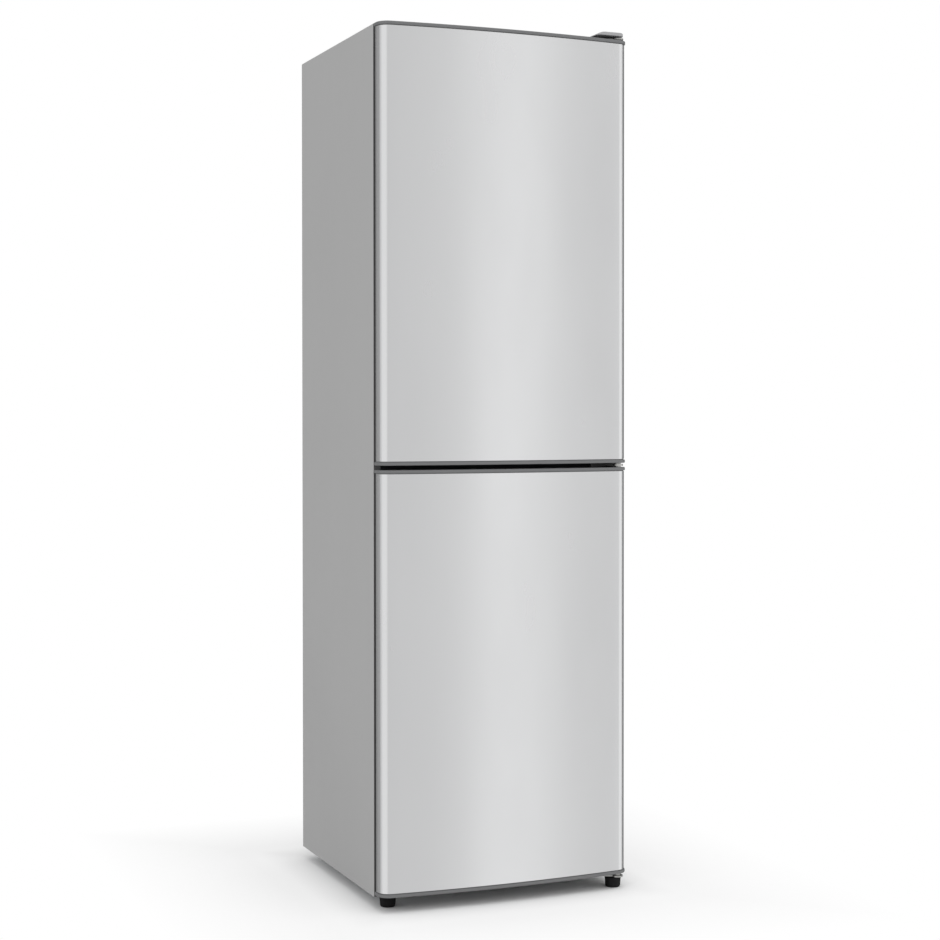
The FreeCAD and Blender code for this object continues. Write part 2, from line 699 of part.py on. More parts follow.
def arch(wall, inner_bend):
    """Both sides and the roof of the wrap, seen from the front."""
    r = d.wrap_bend
    side = half - wall
    top = roof_z - wall
    if inner_bend:
        crown = [(side, roof_z - r, half - r, roof_z - r, r - wall), (half - r, top),
                 (-half + r, top, -half + r, roof_z - r, r - wall), (-side, roof_z - r)]
    else:
        crown = [(side, top), (-side, top)]
    return [(-half, floor_z), (-half, roof_z - r, -half + r, roof_z - r, r), (-half + r, roof_z),
            (half - r, roof_z, half - r, roof_z - r, r), (half, roof_z - r), (half, floor_z),
            (side, floor_z)] + crown + [(-side, floor_z)]


def cabinet_wrap():
    body = new_body("cabinet_wrap")
    pad(body, "XZ", face_y, back_y, [arch(d.steel_sheet, True)])
    pad(body, "XZ", face_y, face_y + d.steel_sheet, [arch(d.wrap_return, False)])


def swaged(y, flip):
    """One face of the back panel, seen from above, with its three stiffening ribs."""
    points = []
    for k in (-1, 0, 1):
        centre = swage_x * k
        foot, crest = d.swage_width / 2, d.swage_width / 2 - d.swage_height
        points += [(centre - foot, y), (centre - crest, y + d.swage_height),
                   (centre + crest, y + d.swage_height), (centre + foot, y)]
    points = [(-inner_half, y)] + points + [(inner_half, y)]
    return points[::-1] if flip else points


def roof_corners():
    """What the rounded edges of the wrap leave no room for, seen from the front."""
    bend = d.wrap_bend - d.steel_sheet
    low, high = roof_z - d.wrap_bend, roof_z - d.steel_sheet
    return [rect(inner_half - bend, inner_half, low, high), rect(-inner_half, bend - inner_half, low, high)]


def back_panel():
    body = new_body("back_panel")
    outline = swaged(back_y - d.steel_sheet, False) + swaged(back_y, True)
    pad(body, "XY", machine_z, roof_z - d.steel_sheet, [outline])
    pocket(body, "XZ", back_y - d.steel_sheet, back_y, roof_corners())


def drain_hole():
    return sided(drain_x, drain_y, d.drain_radius + d.seat_play, d.stem_sides)


def bottom_panel():
    """Sheet under the insulation, bent up round the compressor compartment."""
    s = d.bottom_sheet
    front, rear = face_y + d.liner_sheet, back_y - d.steel_sheet
    section = [(front, floor_z), (machine_y, floor_z), (machine_y, machine_z), (rear, machine_z),
               (rear, machine_z + s), (machine_y - s, machine_z + s), (machine_y - s, floor_z + s),
               (front, floor_z + s)]
    body = new_body("bottom_panel")
    pad(body, "YZ", -inner_half, inner_half, [section])
    hole = d.foot_stem_radius + d.pin_play
    pocket(body, "XY", floor_z, floor_z + s, [(left_foot_x, left_foot_y, hole)])
    pocket(body, "XY", machine_z, machine_z + s, [drain_hole()])


def foam_section():
    """The insulation from the side, outside the compressor compartment."""
    s = d.bottom_sheet
    front, rear = face_y + d.steel_sheet, back_y - d.steel_sheet
    low, high = floor_z + s, roof_z - d.steel_sheet
    return [(front, low), (machine_y - s, low), (machine_y - s, machine_z + s), (rear, machine_z + s),
            (rear, high), (front, high)]


def freezer_section(by):
    """The freezer liner from the side, with its step over the compressor; by shrinks it."""
    low, high = freezer_floor + by, freezer_roof - by
    front = face_y
    return [(front, low), (step_y - by, low), (step_y - by, step_z + by), (freezer_back - by, step_z + by),
            (freezer_back - by, high), (front, high)]


def insulation_foam():
    body = new_body("insulation_foam")
    pad(body, "YZ", -inner_half, inner_half, [foam_section()])
    pocket(body, "XZ", face_y, back_y, roof_corners())
    pocket(body, "XZ", face_y, fridge_back, [round_rect(*fridge_box, d.liner_corner)])
    pocket(body, "YZ", -freezer_half, freezer_half, [freezer_section(ZERO)])
    pocket(body, "XZ", face_y, face_y + d.liner_sheet, [rect(*face_frame)])
    pocket(body, "XZ", face_y, face_y + d.liner_sheet + d.rail_flange,
           [rect(face_frame[0], face_frame[1], rail_low, rail_high)])
    pocket(body, "XZ", fridge_back, fridge_back + d.plate_thickness, [rect(*fridge_plate)])
    pocket(body, "XZ", freezer_back, freezer_back + d.plate_thickness, [rect(*freezer_plate)])
    pocket(body, "XY", floor_z, floor_z + d.foot_stem_over + d.overrun,
           [(left_foot_x, left_foot_y, d.foot_stem_radius + d.tube_play)])
    pocket(body, "XY", machine_z, fridge_floor, [drain_hole()])
    pocket(body, "XZ", face_y, face_y + d.switch_length,
           [sided(d.switch_offset, switch_z, d.switch_radius + d.tube_play, d.stem_sides)])


def fridge_liner():
    body = new_body("fridge_liner")
    pad(body, "XZ", face_y, fridge_back, [round_rect(*fridge_box, d.liner_corner)])
    frame = rect(face_frame[0], face_frame[1], rail_high, face_frame[3])
    pad(body, "XZ", face_y, face_y + d.liner_sheet, [frame])
    inner_corner = d.liner_corner - d.liner_sheet
    pocket(body, "XZ", face_y, fridge_back - d.liner_sheet, [round_rect(*fridge_room, inner_corner)])
    ledges = []
    wall = fridge_half - d.liner_sheet / 2
    for level in shelf_levels:
        ledges.append(rect(-wall, d.ledge_depth - wall, level - d.ledge_height, level))
        ledges.append(rect(wall - d.ledge_depth, wall, level - d.ledge_height, level))
    pad(body, "XZ", shelf_front + d.trim_depth, fridge_back - d.liner_sheet / 2, ledges)
    pocket(body, "XY", fridge_floor, fridge_floor + d.liner_sheet, [drain_hole()])
    pocket(body, "XZ", face_y, face_y + d.liner_sheet,
           [sided(d.switch_offset, switch_z, d.switch_radius + d.pin_play, d.stem_sides)])


def freezer_liner():
    body = new_body("freezer_liner")
    pad(body, "YZ", -freezer_half, freezer_half, [freezer_section(ZERO)])
    frame = rect(face_frame[0], face_frame[1], face_frame[2], rail_low)
    pad(body, "XZ", face_y, face_y + d.liner_sheet, [frame])
    room = freezer_half - d.liner_sheet
    pocket(body, "YZ", -room, room, [freezer_section(d.liner_sheet)])
    wall = freezer_half - d.liner_sheet / 2
    for level in freezer_levels:
        rear = step_y if level is freezer_levels[0] else freezer_back
        ledges = [rect(-wall, d.ledge_depth - wall, level - d.ledge_height, level),
                  rect(wall - d.ledge_depth, wall, level - d.ledge_height, level)]
        pad(body, "XZ", drawer_y, rear - d.liner_sheet / 2, ledges)


def centre_rail():
    """Channel across the front, between the compartments."""
    s = d.liner_sheet
    rear = face_y + s + d.rail_flange
    section = [(face_y, rail_low), (rear, rail_low), (rear, rail_low + s), (face_y + s, rail_low + s),
               (face_y + s, rail_high - s), (rear, rail_high - s), (rear, rail_high), (face_y, rail_high)]
    body = new_body("centre_rail")
    pad(body, "YZ", face_frame[0], face_frame[1], [section])


def evaporator_plate(label, front, limits):
    body = new_body(label)
    pad(body, "XZ", front, front + d.plate_thickness, [rect(*limits)])


# Feet and rollers


def foot(label, x, y, stem_top):
    """Levelling foot that widens upwards, with flats for the fingers, and its threaded stem."""
    rim = turned([(d.foot_toe_radius - d.foot_bevel, ZERO), (d.foot_toe_radius, d.foot_bevel),
                  (d.foot_radius, d.foot_height)], d.foot_sides)
    stem = prism("Z", ZERO, ZERO, d.foot_height, d.foot_stem_radius, stem_top - d.foot_height, d.stem_sides)
    place(node(label, joined([rim, stem], label)), x, y, ZERO)


def roller(label, x):
    start = x - d.roller_width / 2
    item = prism("X", start, roller_y, d.roller_radius, d.roller_radius, d.roller_width, d.pot_sides)
    bore = rod("X", start - d.overrun, roller_y, d.roller_radius, d.axle_radius + d.pin_play,
               d.roller_width + d.overrun * 2)
    node(label, without(item, bore, label))


def compressor_shelf():
    """Plate between the sides of the compressor compartment, with the roller brackets."""
    body = new_body("compressor_shelf")
    pad(body, "XY", floor_z, shelf_top, [rect(-inner_half, inner_half, machine_y, back_y)])
    low = d.roller_radius - d.axle_radius - d.ear_sheet
    inside = d.roller_width / 2 + d.ear_play
    wide = d.roller_radius - d.ear_sheet
    ears = [rect(roller_y - wide, roller_y + wide, low, floor_z)]
    hole = sided(roller_y, d.roller_radius, d.axle_radius + d.seat_play, d.stem_sides)
    for x in (-roller_x, roller_x):
        for start in (x - inside - d.ear_sheet, x + inside):
            pad(body, "YZ", start, start + d.ear_sheet, ears)
            pocket(body, "YZ", start, start + d.ear_sheet, [hole])


def roller_axles():
    reach = d.roller_width / 2 + d.ear_play + d.ear_sheet + d.axle_reach
    axles = [prism("X", x - reach, roller_y, d.roller_radius, d.axle_radius, reach * 2, d.stem_sides)
             for x in (-roller_x, roller_x)]
    node("roller_axles", joined(axles, "roller_axles"))


# Compressor compartment


def compressor():
    """Welded pot on its feet, with the flat seat for the tray, the terminals and a pipe stub."""
    r, top, flat_r = d.compressor_radius, d.compressor_height, d.tray_boss
    round_off = r - flat_r
    near, far = round_off * FLAT_SHARES[0], round_off * FLAT_SHARES[1]
    seam = d.compressor_seam
    section = [(flat_r, ZERO), (r - far, near), (r - near, far), (r, round_off), (r, top / 2 - seam),
               (r + seam, top / 2 - seam / 2), (r + seam, top / 2 + seam / 2), (r, top / 2 + seam),
               (r, top - round_off), (r - near, top - far), (r - far, top - near), (flat_r, top)]
    pot = turned(section, d.pot_sides)
    body = doc.addObject("PartDesign::Body", "compressor_feet")
    x, y = d.mount_spacing_x / 2, d.mount_spacing_y / 2
    edge = d.mount_radius
    pad(body, "XY", ZERO, d.compressor_plate, [flat_cornered(-x - edge, x + edge, -y - edge, y + edge, edge)])
    hole = d.mount_radius - d.mount_groove + d.seat_play
    holes = [sided(dx, dy, hole, d.stem_sides) for dx in (-x, x) for dy in (-y, y)]
    pocket(body, "XY", ZERO, d.compressor_plate, holes)
    wide, level = d.terminal_width / 2, d.terminal_level
    boss = block(flat_r, d.terminal_reach, -wide, wide, level - wide, level + wide)
    reach = d.pipe_stub + round_off
    stub = prism("X", -flat_r - reach, ZERO, d.pipe_height, d.pipe_radius, reach, d.tube_sides)
    place(node("compressor", joined([pot, body, boss, stub], "compressor")), compressor_x, compressor_y,
          compressor_z)


def compressor_mounts():
    mounts = []
    groove = (d.mount_height - d.compressor_plate) / 2
    r, neck, high = d.mount_radius, d.mount_radius - d.mount_groove, d.mount_height
    section = [(r, ZERO), (r, groove), (neck, groove), (neck, high - groove), (r, high - groove), (r, high)]
    for sx in (-1, 1):
        for sy in (-1, 1):
            x = compressor_x + d.mount_spacing_x / 2 * sx
            y = compressor_y + d.mount_spacing_y / 2 * sy
            mounts.append(place(turned(section, d.stem_sides), x, y, shelf_top))
    node("compressor_mounts", joined(mounts, "compressor_mounts"))


def relay_box():
    x = compressor_x + d.terminal_reach
    y, z = compressor_y, compressor_z + d.terminal_level
    deep, high = d.relay_depth / 2, d.relay_height / 2
    body = new_body("relay_box")
    box = pad(body, "YZ", x, x + d.relay_width, [rect(y - deep, y + deep, z - high, z + high)])
    bevel(body, box, d.cap_lip, lambda limits: limits.XLength > d.cap_lip.value)
    middle = x + d.relay_width / 2
    pad(body, "XZ", y + deep, y + deep + d.gland_length,
        [sided(middle, z - high / 2, d.gland_radius, d.stem_sides)])
    pocket(body, "XZ", y + deep, y + deep + d.gland_length, [(middle, z - high / 2, d.gland_bore)])


def drip_tray():
    wide, deep = d.tray_width / 2, d.tray_depth / 2
    limits = (compressor_x - wide, compressor_x + wide, compressor_y - deep, compressor_y + deep)
    low = compressor_z + d.compressor_height
    body = new_body("drip_tray")
    corner = d.drawer_corner
    pad(body, "XY", low, low + d.tray_height, [flat_cornered(*limits, corner)])
    inside = flat_cornered(*grown(limits, -d.tray_wall), corner - d.tray_wall)
    pocket(body, "XY", low + d.tray_wall, low + d.tray_height, [inside])


def drain_pipe():
    low = compressor_z + d.compressor_height + d.drain_dip
    body = new_body("drain_pipe")
    pad(body, "XY", low, fridge_floor + d.liner_sheet,
        [sided(drain_x, drain_y, r, d.stem_sides) for r in (d.drain_radius, d.drain_bore)])


def condenser_tube():
    """The serpentine behind the back panel, with an end down to the pipe and one into the panel."""
    y, r, half_pitch = condenser_y, d.pipe_bend, d.tube_pitch / 2
    count = int(d.tube_run_count.value)
    points = [spot(-run_half - r, y, machine_z)]
    points += bend(spot(-run_half, y, condenser_z - r), -X, Z, r, 1)
    for k in range(count - 1):
        side = 1 if k % 2 == 0 else -1
        centre = spot(run_half * side, y, condenser_z + d.tube_pitch * k + half_pitch)
        points += bend(centre, -Z, X * side, half_pitch, 2)
    top = condenser_z + d.tube_pitch * (count - 1)
    points += bend(spot(swage_x - r, y - r, top), Y, X, r, 1)
    points.append(spot(swage_x, back_y + d.swage_height, top))
    node("condenser_tube", tube(points, d.tube_radius, "condenser_tube"))


def condenser_wires():
    """Straight wires on both faces of the serpentine, in turn."""
    count = int(d.wire_count.value)
    low = condenser_z - d.wire_over
    length = d.tube_pitch * (d.tube_run_count - 1) + d.wire_over * 2
    away = d.tube_radius + d.wire_radius + d.wire_air
    wires = []
    for k in range(count):
        x = d.wire_pitch * (k - (count - 1) / 2)
        y = condenser_y + away if k % 2 == 0 else condenser_y - away
        wires.append(prism("Z", x, y, low, d.wire_radius, length, d.wire_sides))
    node("condenser_wires", joined(wires, "condenser_wires"))


def condenser_clips():
    clips = []
    wide, high = d.clip_width / 2, d.clip_height / 2
    bore = d.tube_radius + d.tube_play
    for side in (-1, 1):
        x = (run_half - d.clip_inset) * side
        for k in (1, d.tube_run_count - 2):
            z = condenser_z + d.tube_pitch * k
            item = block(x - wide, x + wide, back_y, back_y + rear_reach, z - high, z + high)
            through = wide + d.overrun
            hole = prism("X", x - through, condenser_y, z, bore, through * 2, d.tube_sides)
            clips.append(without(item, hole))
    node("condenser_clips", joined(clips, "condenser_clips"))


def refrigerant_pipe():
    """From the condenser down into the compartment, through the drier to the compressor."""
    x, r = -run_half - d.pipe_bend, d.pipe_bend
    z = compressor_z + d.pipe_height
    front, rear = compressor_y + r, condenser_y - r
    points = [spot(x, condenser_y, machine_z)]
    points += bend(spot(x, rear, z + r), Y, -Z, r, 1)
    points += bend(spot(x + r, front, z), -X, -Y, r, 1)
    points.append(spot(compressor_x - d.compressor_radius - d.pipe_stub, compressor_y, z))
    middle = (front + rear) / 2 - d.drier_length / 2
    drier = prism("Y", x, middle, z, d.drier_radius, d.drier_length, d.stem_sides)
    node("refrigerant_pipe", joined([tube(points, d.pipe_radius), drier], "refrigerant_pipe"))


# Inside the compartments


def control_housing():
    """Slanted housing under the ceiling: an open bay for the lamp beside the thermostat."""
    wide, wall = d.housing_width / 2, d.housing_wall
    low = ceiling - d.housing_height
    y0, y1 = housing_y, housing_y + d.housing_depth
    body = new_body("control_housing")
    pad(body, "YZ", -wide, wide, [[(y0, ceiling), (y0 + d.housing_slope, low), (y1, low), (y1, ceiling)]])
    hollow = [(y0 + wall, ceiling), (y0 + wall + d.housing_slope, low + wall), (y1 - wall, low + wall),
              (y1 - wall, ceiling)]
    pocket(body, "YZ", -wide + wall, lamp_wall - wall, [hollow])
    pocket(body, "YZ", lamp_wall, wide - wall, [hollow])
    window = rect(-wide + wall * 2, lamp_wall - wall * 2, y0 + wall * 2 + d.housing_slope, y1 - wall * 2)
    pocket(body, "XY", low, low + wall, [window])
    pocket(body, "XY", low, low + wall, [(d.knob_offset, knob_y, d.spindle_radius + d.pin_play)])


def lamp():
    """Screwed base against the partition, and the bulb, on one axis."""
    r, base, neck, long = d.lamp_radius, d.lamp_base, d.lamp_neck, d.lamp_length
    section = [(base, ZERO), (base, neck), (r, neck + r / 2), (r, long - r / 2), (r / 2, long)]
    item = node("lamp", turned(section, d.stem_sides, "lamp"))
    item.Placement.Rotation = FreeCAD.Rotation(Y, -90)
    place(item, lamp_wall - d.housing_wall, knob_y, ceiling - d.housing_height / 2)


def thermostat_knob():
    """Round knob under the housing with a bar to turn it by, and its spindle."""
    low = ceiling - d.housing_height - d.door_float
    grip = d.knob_grip / 2
    rim = low - (d.knob_height - d.knob_grip)
    body = new_body("thermostat_knob")
    pad(body, "XY", rim, low, [sided(d.knob_offset, knob_y, d.knob_radius, d.pot_sides)])
    pad(body, "XY", low - d.knob_height, rim,
        [rect(d.knob_offset - grip, d.knob_offset + grip, knob_y - bar_half, knob_y + bar_half)])
    spindle = sided(d.knob_offset, knob_y, d.spindle_radius, d.stem_sides)
    pad(body, "XY", low, low + d.spindle_length, [spindle])


def door_switch():
    front = door_back + d.switch_air
    body = new_body("door_switch")
    pad(body, "XZ", front, front + d.switch_length,
        [sided(d.switch_offset, switch_z, d.switch_radius, d.stem_sides)])


def crisper_cover():
    level = shelf_levels[0]
    body = new_body("crisper_cover")
    pad(body, "XY", level, level + d.shelf_glass, [rect(-shelf_half, shelf_half, shelf_front, shelf_back)])


def fridge_shelves():
    plates = [block(-shelf_half, shelf_half, shelf_front, shelf_back, level, level + d.shelf_glass)
              for level in shelf_levels[1:]]
    node("fridge_shelves", joined(plates, "fridge_shelves"))


def shelf_trims():
    """Plastic strips clipped over the front edges of the four glass plates."""
    trims = []
    grip = (d.trim_height - d.shelf_glass) / 2
    front = shelf_front - (d.trim_depth - grip)
    for level in shelf_levels:
        strip = block(-shelf_half, shelf_half, front, front + d.trim_depth, level - grip,
                      level + d.shelf_glass + grip)
        slot = block(-shelf_half - d.overrun, shelf_half + d.overrun, shelf_front, shelf_front + d.trim_depth,
                     level, level + d.shelf_glass)
        trims.append(without(strip, slot))
    node("shelf_trims", joined(trims, "shelf_trims"))


def freezer_shelves():
    rear = freezer_back - d.liner_sheet - d.shelf_rear_gap
    plates = [block(-freezer_shelf_half, freezer_shelf_half, drawer_y, rear, level, level + d.shelf_glass)
              for level in freezer_levels]
    node("freezer_shelves", joined(plates, "freezer_shelves"))


def drawer(label, wide, y0, y1, low, height, wall_share):
    """Open drawer: a thicker front with a finger slot, and walls that may be lower."""
    body = new_body(label)
    top = low + height
    rim = low + height * wall_share
    wall, r, draft = d.drawer_wall, d.drawer_corner, d.drawer_draft
    foot_r, thick = r - draft, wall + draft
    outside = flat_cornered(draft - wide, wide - draft, y0 + draft, y1 - draft, foot_r)
    drafted(pad(body, "XY", low, rim, [outside]), draft, rim - low)
    inside = flat_cornered(thick - wide, wide - thick, y0 + d.drawer_front + draft, y1 - thick, foot_r - wall)
    drafted(pocket(body, "XY", low + wall, rim, [inside]), draft, rim - low - wall)
    if wall_share is not FULL:
        near, far = r * FLAT_SHARES[0], r * FLAT_SHARES[1]
        front = [(-wide, y0 + r), (near - wide, y0 + far), (far - wide, y0 + near), (r - wide, y0),
                 (wide - r, y0), (wide - far, y0 + near), (wide - near, y0 + far), (wide, y0 + r),
                 (wide - wall, y0 + r), (wide - r, y0 + d.drawer_front), (r - wide, y0 + d.drawer_front),
                 (wall - wide, y0 + r)]
        pad(body, "XY", rim, top, [front])
    slot = rect(-d.grip_width / 2, d.grip_width / 2, top - d.grip_drop - d.grip_height, top - d.grip_drop)
    pocket(body, "XZ", y0, y0 + d.drawer_front + draft, [slot])


FULL = as_size(1)


def drawers():
    low = fridge_floor + d.liner_sheet + d.drawer_lift
    drawer("crisper_drawer", fridge_half - d.liner_sheet - d.drawer_play, shelf_front,
           shelf_back - d.crisper_rear_gap, low, d.crisper_height, FULL)
    wide = freezer_half - d.liner_sheet - d.drawer_play
    rear = freezer_back - d.liner_sheet - d.drawer_rear_gap
    high = freezer_bay - d.shelf_glass - d.drawer_lift - d.drawer_headroom
    for number, level in ((1, freezer_levels[2]), (2, freezer_levels[1]), (3, freezer_levels[0])):
        drawer("freezer_drawer_%d" % number, wide, drawer_y, rear, level + d.shelf_glass + d.drawer_lift,
               high, d.basket_share)
    low = freezer_floor + d.liner_sheet + d.drawer_lift
    drawer("freezer_drawer_4", wide, drawer_y, step_y - d.liner_sheet - d.drawer_rear_gap, low,
           freezer_levels[0] - d.drawer_headroom - low, d.basket_share)


# Hinges


def hinge_outline(rear):
    """Plate seen from above: a round nose about the pin that widens to the left."""
    r = d.hinge_nose
    left = hinge_x - d.hinge_span
    points = [(left, rear), (left, face_y), (hinge_x - r, hinge_y, hinge_x, hinge_y, r),
              (hinge_x, hinge_y - r, hinge_x, hinge_y, r), (hinge_x + r, hinge_y), (hinge_x + r, rear)]
    if rear is face_y:
        points.pop(1)
    return points


def pin(body, start, stop):
    pad(body, "XY", start, stop, [(hinge_x, hinge_y, d.pin_radius)])


def shoulder(body, start, stop):
    pad(body, "XY", start, stop, [sided(hinge_x, hinge_y, d.washer_radius, d.stem_sides)])


def screw_places():
    return [hinge_x - d.screw_spacing, hinge_x - d.screw_spacing * 2]


def screw_hole(x, y):
    return sided(x, y, d.screw_radius + d.seat_play, d.tube_sides)


def top_hinge():
    body = new_body("top_hinge")
    pad(body, "XY", roof_z, roof_z + d.hinge_plate, [hinge_outline(face_y + d.hinge_back)])
    shoulder(body, upper_top + d.door_float, roof_z)
    pin(body, upper_top - d.pin_reach + d.door_float, upper_top + d.door_float)
    pocket(body, "XY", roof_z, roof_z + d.hinge_plate, [screw_hole(x, screw_y) for x in screw_places()])


def top_hinge_cover():
    """Plastic cover with a sloping left side; its front stands clear above the door."""
    wall, r = d.cover_wall, d.cover_round
    x0, x1 = hinge_x - d.hinge_span - d.cover_tail, hinge_x + d.hinge_nose + d.cover_margin
    y0, y1 = hinge_y - d.hinge_nose - d.cover_margin, face_y + d.hinge_back + d.cover_margin
    top = roof_z + d.cover_top
    outline = [(x0, roof_z), (x0 + d.cover_ramp, top), (x1 - r, top, x1 - r, top - r, r), (x1, top - r),
               (x1, roof_z)]
    hollow = [(x0 + wall * 2, roof_z), (x0 + d.cover_ramp + wall / 2, top - wall),
              (x1 - r, top - wall, x1 - r, top - r, r - wall), (x1 - wall, top - r), (x1 - wall, roof_z)]
    body = new_body("top_hinge_cover")
    shell = pad(body, "XZ", y0, y1, [outline])
    bevel(body, shell, d.cap_bevel, lambda limits: limits.YMax < hinge_y.value
          and limits.ZMax > roof_z.value + d.cap_bevel.value)
    pocket(body, "XZ", y0 + wall * 2, y1 - wall, [hollow])
    pocket(body, "XZ", y0, face_y, [rect(x0, x1, roof_z, roof_z + d.cover_under)])


def middle_hinge():
    body = new_body("middle_hinge")
    thick = d.middle_plate / 2
    play = d.door_float
    pad(body, "XY", gap_z - thick, gap_z + thick, [hinge_outline(face_y)])
    right = half - d.hinge_inset * 2
    flange = rect(hinge_x - d.hinge_span, right, gap_z - d.middle_flange / 2, gap_z + d.middle_flange / 2)
    pad(body, "XZ", face_y - d.hinge_plate, face_y, [flange])
    shoulder(body, lower_top + play, upper_bottom - play)
    pin(body, lower_top - d.pin_reach + play, upper_bottom + d.pin_reach - play)
    holes = [screw_hole(x, gap_z + flange_screw * side) for x in screw_places() for side in (-1, 1)]
    pocket(body, "XZ", face_y - d.hinge_plate, face_y, holes)


def bottom_hinge():
    body = new_body("bottom_hinge")
    low = floor_z - d.hinge_plate
    pad(body, "XY", low, floor_z, [hinge_outline(face_y + d.hinge_back)])
    shoulder(body, floor_z, lower_bottom - d.door_float)
    pin(body, lower_bottom - d.door_float, lower_bottom + d.pin_reach - d.door_float)
    holes = [screw_hole(x, screw_y) for x in screw_places()]
    holes.append((right_foot_x, right_foot_y, d.foot_stem_radius + d.pin_play))
    pocket(body, "XY", low, floor_z, holes)


def hinge_screws():
    """Pan heads with the shanks through the hinge plates."""
    head, tall, shank, plate = d.screw_head_radius, d.screw_head_height, d.screw_radius, d.hinge_plate
    screws = []
    for x in screw_places():
        low, front = floor_z - plate, face_y - plate
        pairs = [("Z", (x, screw_y, roof_z), (x, screw_y, roof_z + plate)),
                 ("Z", (x, screw_y, low), (x, screw_y, low - tall))]
        for side in (-1, 1):
            z = gap_z + flange_screw * side
            pairs.append(("Y", (x, front, z), (x, front - tall, z)))
        for axis, start, head_start in pairs:
            screws.append(joined([prism(axis, *start, shank, plate, d.tube_sides),
                                  prism(axis, *head_start, head, tall, d.tube_sides)]))
    node("hinge_screws", joined(screws, "hinge_screws"))


# Doors


def door_skin(label, low, high):
    body = new_body(label)
    pad(body, "XY", low + d.cap_height, high - d.cap_height, [skin_outline(d.steel_sheet, skin_back)])


def door_cap(label, start, outer_low):
    """End cap, proud of the skin, with the seat of the hinge bush in its outer face."""
    body = new_body(label)
    stop = start + d.cap_height
    cap = pad(body, "XY", start, stop, [door_outline(d.cap_lip, door_back)])
    rim = start if outer_low else stop
    bevel(body, cap, d.cap_bevel, lambda limits: level_edge(limits, rim)
          and limits.YMin < door_back.value - d.cap_bevel.value)
    seat = sided(hinge_x, hinge_y, bore_radius + d.bush_wall + d.seat_play, d.stem_sides)
    if outer_low:
        pocket(body, "XY", start, start + d.pin_reach, [seat])
    else:
        pocket(body, "XY", stop - d.pin_reach, stop, [seat])


def door_bushes(label, low, high):
    bushes = []
    for start in (low, high - d.pin_reach):
        bush = prism("Z", hinge_x, hinge_y, start, bore_radius + d.bush_wall, d.pin_reach, d.stem_sides)
        bore = rod("Z", hinge_x, hinge_y, start - d.overrun, bore_radius, d.pin_reach + d.overrun * 2)
        bushes.append(without(bush, bore))
    node(label, joined(bushes, label))


def door_foam(label, low, high, fill, fill_depth):
    body = new_body(label)
    bottom, top = low + d.cap_height, high - d.cap_height
    pad(body, "XY", bottom, top, [door_outline(-d.steel_sheet, skin_back)])
    side = half - d.door_liner_inset - d.liner_sheet
    pad(body, "XY", bottom, top, [rect(-side, side, skin_back, liner_front)])
    pad(body, "XZ", liner_front, door_back + fill_depth - d.liner_sheet, fill)


def door_liner(label, low, high, raised, hollow, depth):
    """Flat sheet with side edges turned forward, and the raised ring or field behind."""
    body = new_body(label)
    bottom, top = low + d.cap_height, high - d.cap_height
    side = half - d.door_liner_inset
    pad(body, "XZ", liner_front, door_back, [rect(-side, side, bottom, top)])
    inner = side - d.liner_sheet
    edges = [rect(-side, -inner, bottom, top), rect(inner, side, bottom, top)]
    pad(body, "XZ", skin_back, liner_front, edges)
    pad(body, "XZ", liner_front, door_back + depth, raised)
    pocket(body, "XZ", liner_front, door_back + depth - d.liner_sheet, hollow)
    return body


def balcony_lugs(body):
    lugs = []
    wall = dyke_inner[1] + d.liner_sheet / 2
    reach = dyke_inner[1] - d.lug_reach
    for level in balcony_levels:
        lugs.append(rect(-wall, -reach, level - d.lug_height, level))
        lugs.append(rect(reach, wall, level - d.lug_height, level))
    pad(body, "XZ", door_back, door_back + d.lug_depth, lugs)


def gasket(label, low, high):
    """Foot on the door liner and the magnet tube that meets the cabinet."""
    side = half - d.gasket_inset
    foot_box = (-side, side, low + d.gasket_inset, high - d.gasket_inset)
    share = (d.gasket_width - d.magnet_width) / 2
    magnet_box = grown(foot_box, -share)
    r = d.gasket_corner
    body = new_body(label)
    pad(body, "XZ", door_back, door_back + d.gasket_foot,
        [round_rect(*foot_box, r + share), rect(*grown(foot_box, -d.gasket_width))])
    pad(body, "XZ", door_back + d.gasket_foot, face_y,
        [round_rect(*magnet_box, r), rect(*grown(magnet_box, -d.magnet_width))])


def balcony(label, level, height):
    """Door balcony: a tray with rounded front corners, standing on its lugs."""
    wide = dyke_inner[1] - d.balcony_play
    wall, r = d.balcony_wall, d.balcony_corner
    y0, y1 = door_back, door_back + d.balcony_depth
    outline = [(-wide, y0), (wide, y0), (wide, y1 - r, wide - r, y1 - r, r), (wide - r, y1),
               (r - wide, y1, r - wide, y1 - r, r), (-wide, y1 - r)]
    wide, y0, y1, r = wide - wall, y0 + wall, y1 - wall, r - wall
    hollow = [(-wide, y0), (wide, y0), (wide, y1 - r, wide - r, y1 - r, r), (wide - r, y1),
              (r - wide, y1, r - wide, y1 - r, r), (-wide, y1 - r)]
    body = new_body(label)
    pad(body, "XY", level, level + height, [outline])
    pocket(body, "XY", level + wall, level + height, [hollow])


cabinet_wrap()
back_panel()
bottom_panel()
insulation_foam()
fridge_liner()
freezer_liner()
centre_rail()
evaporator_plate("fridge_evaporator", fridge_back, fridge_plate)
evaporator_plate("freezer_evaporator", freezer_back, freezer_plate)
compressor_shelf()
roller_axles()
roller("left_roller", -roller_x)
roller("right_roller", roller_x)
foot("left_foot", left_foot_x, left_foot_y, floor_z + d.foot_stem_over)
foot("right_foot", right_foot_x, right_foot_y, floor_z + d.foot_stem_stub)
compressor()
compressor_mounts()
relay_box()
drip_tray()
drain_pipe()
condenser_tube()
condenser_wires()
condenser_clips()
refrigerant_pipe()
control_housing()
lamp()
thermostat_knob()
door_switch()
crisper_cover()
fridge_shelves()
shelf_trims()
freezer_shelves()
drawers()
top_hinge()
top_hinge_cover()
middle_hinge()
bottom_hinge()
hinge_screws()

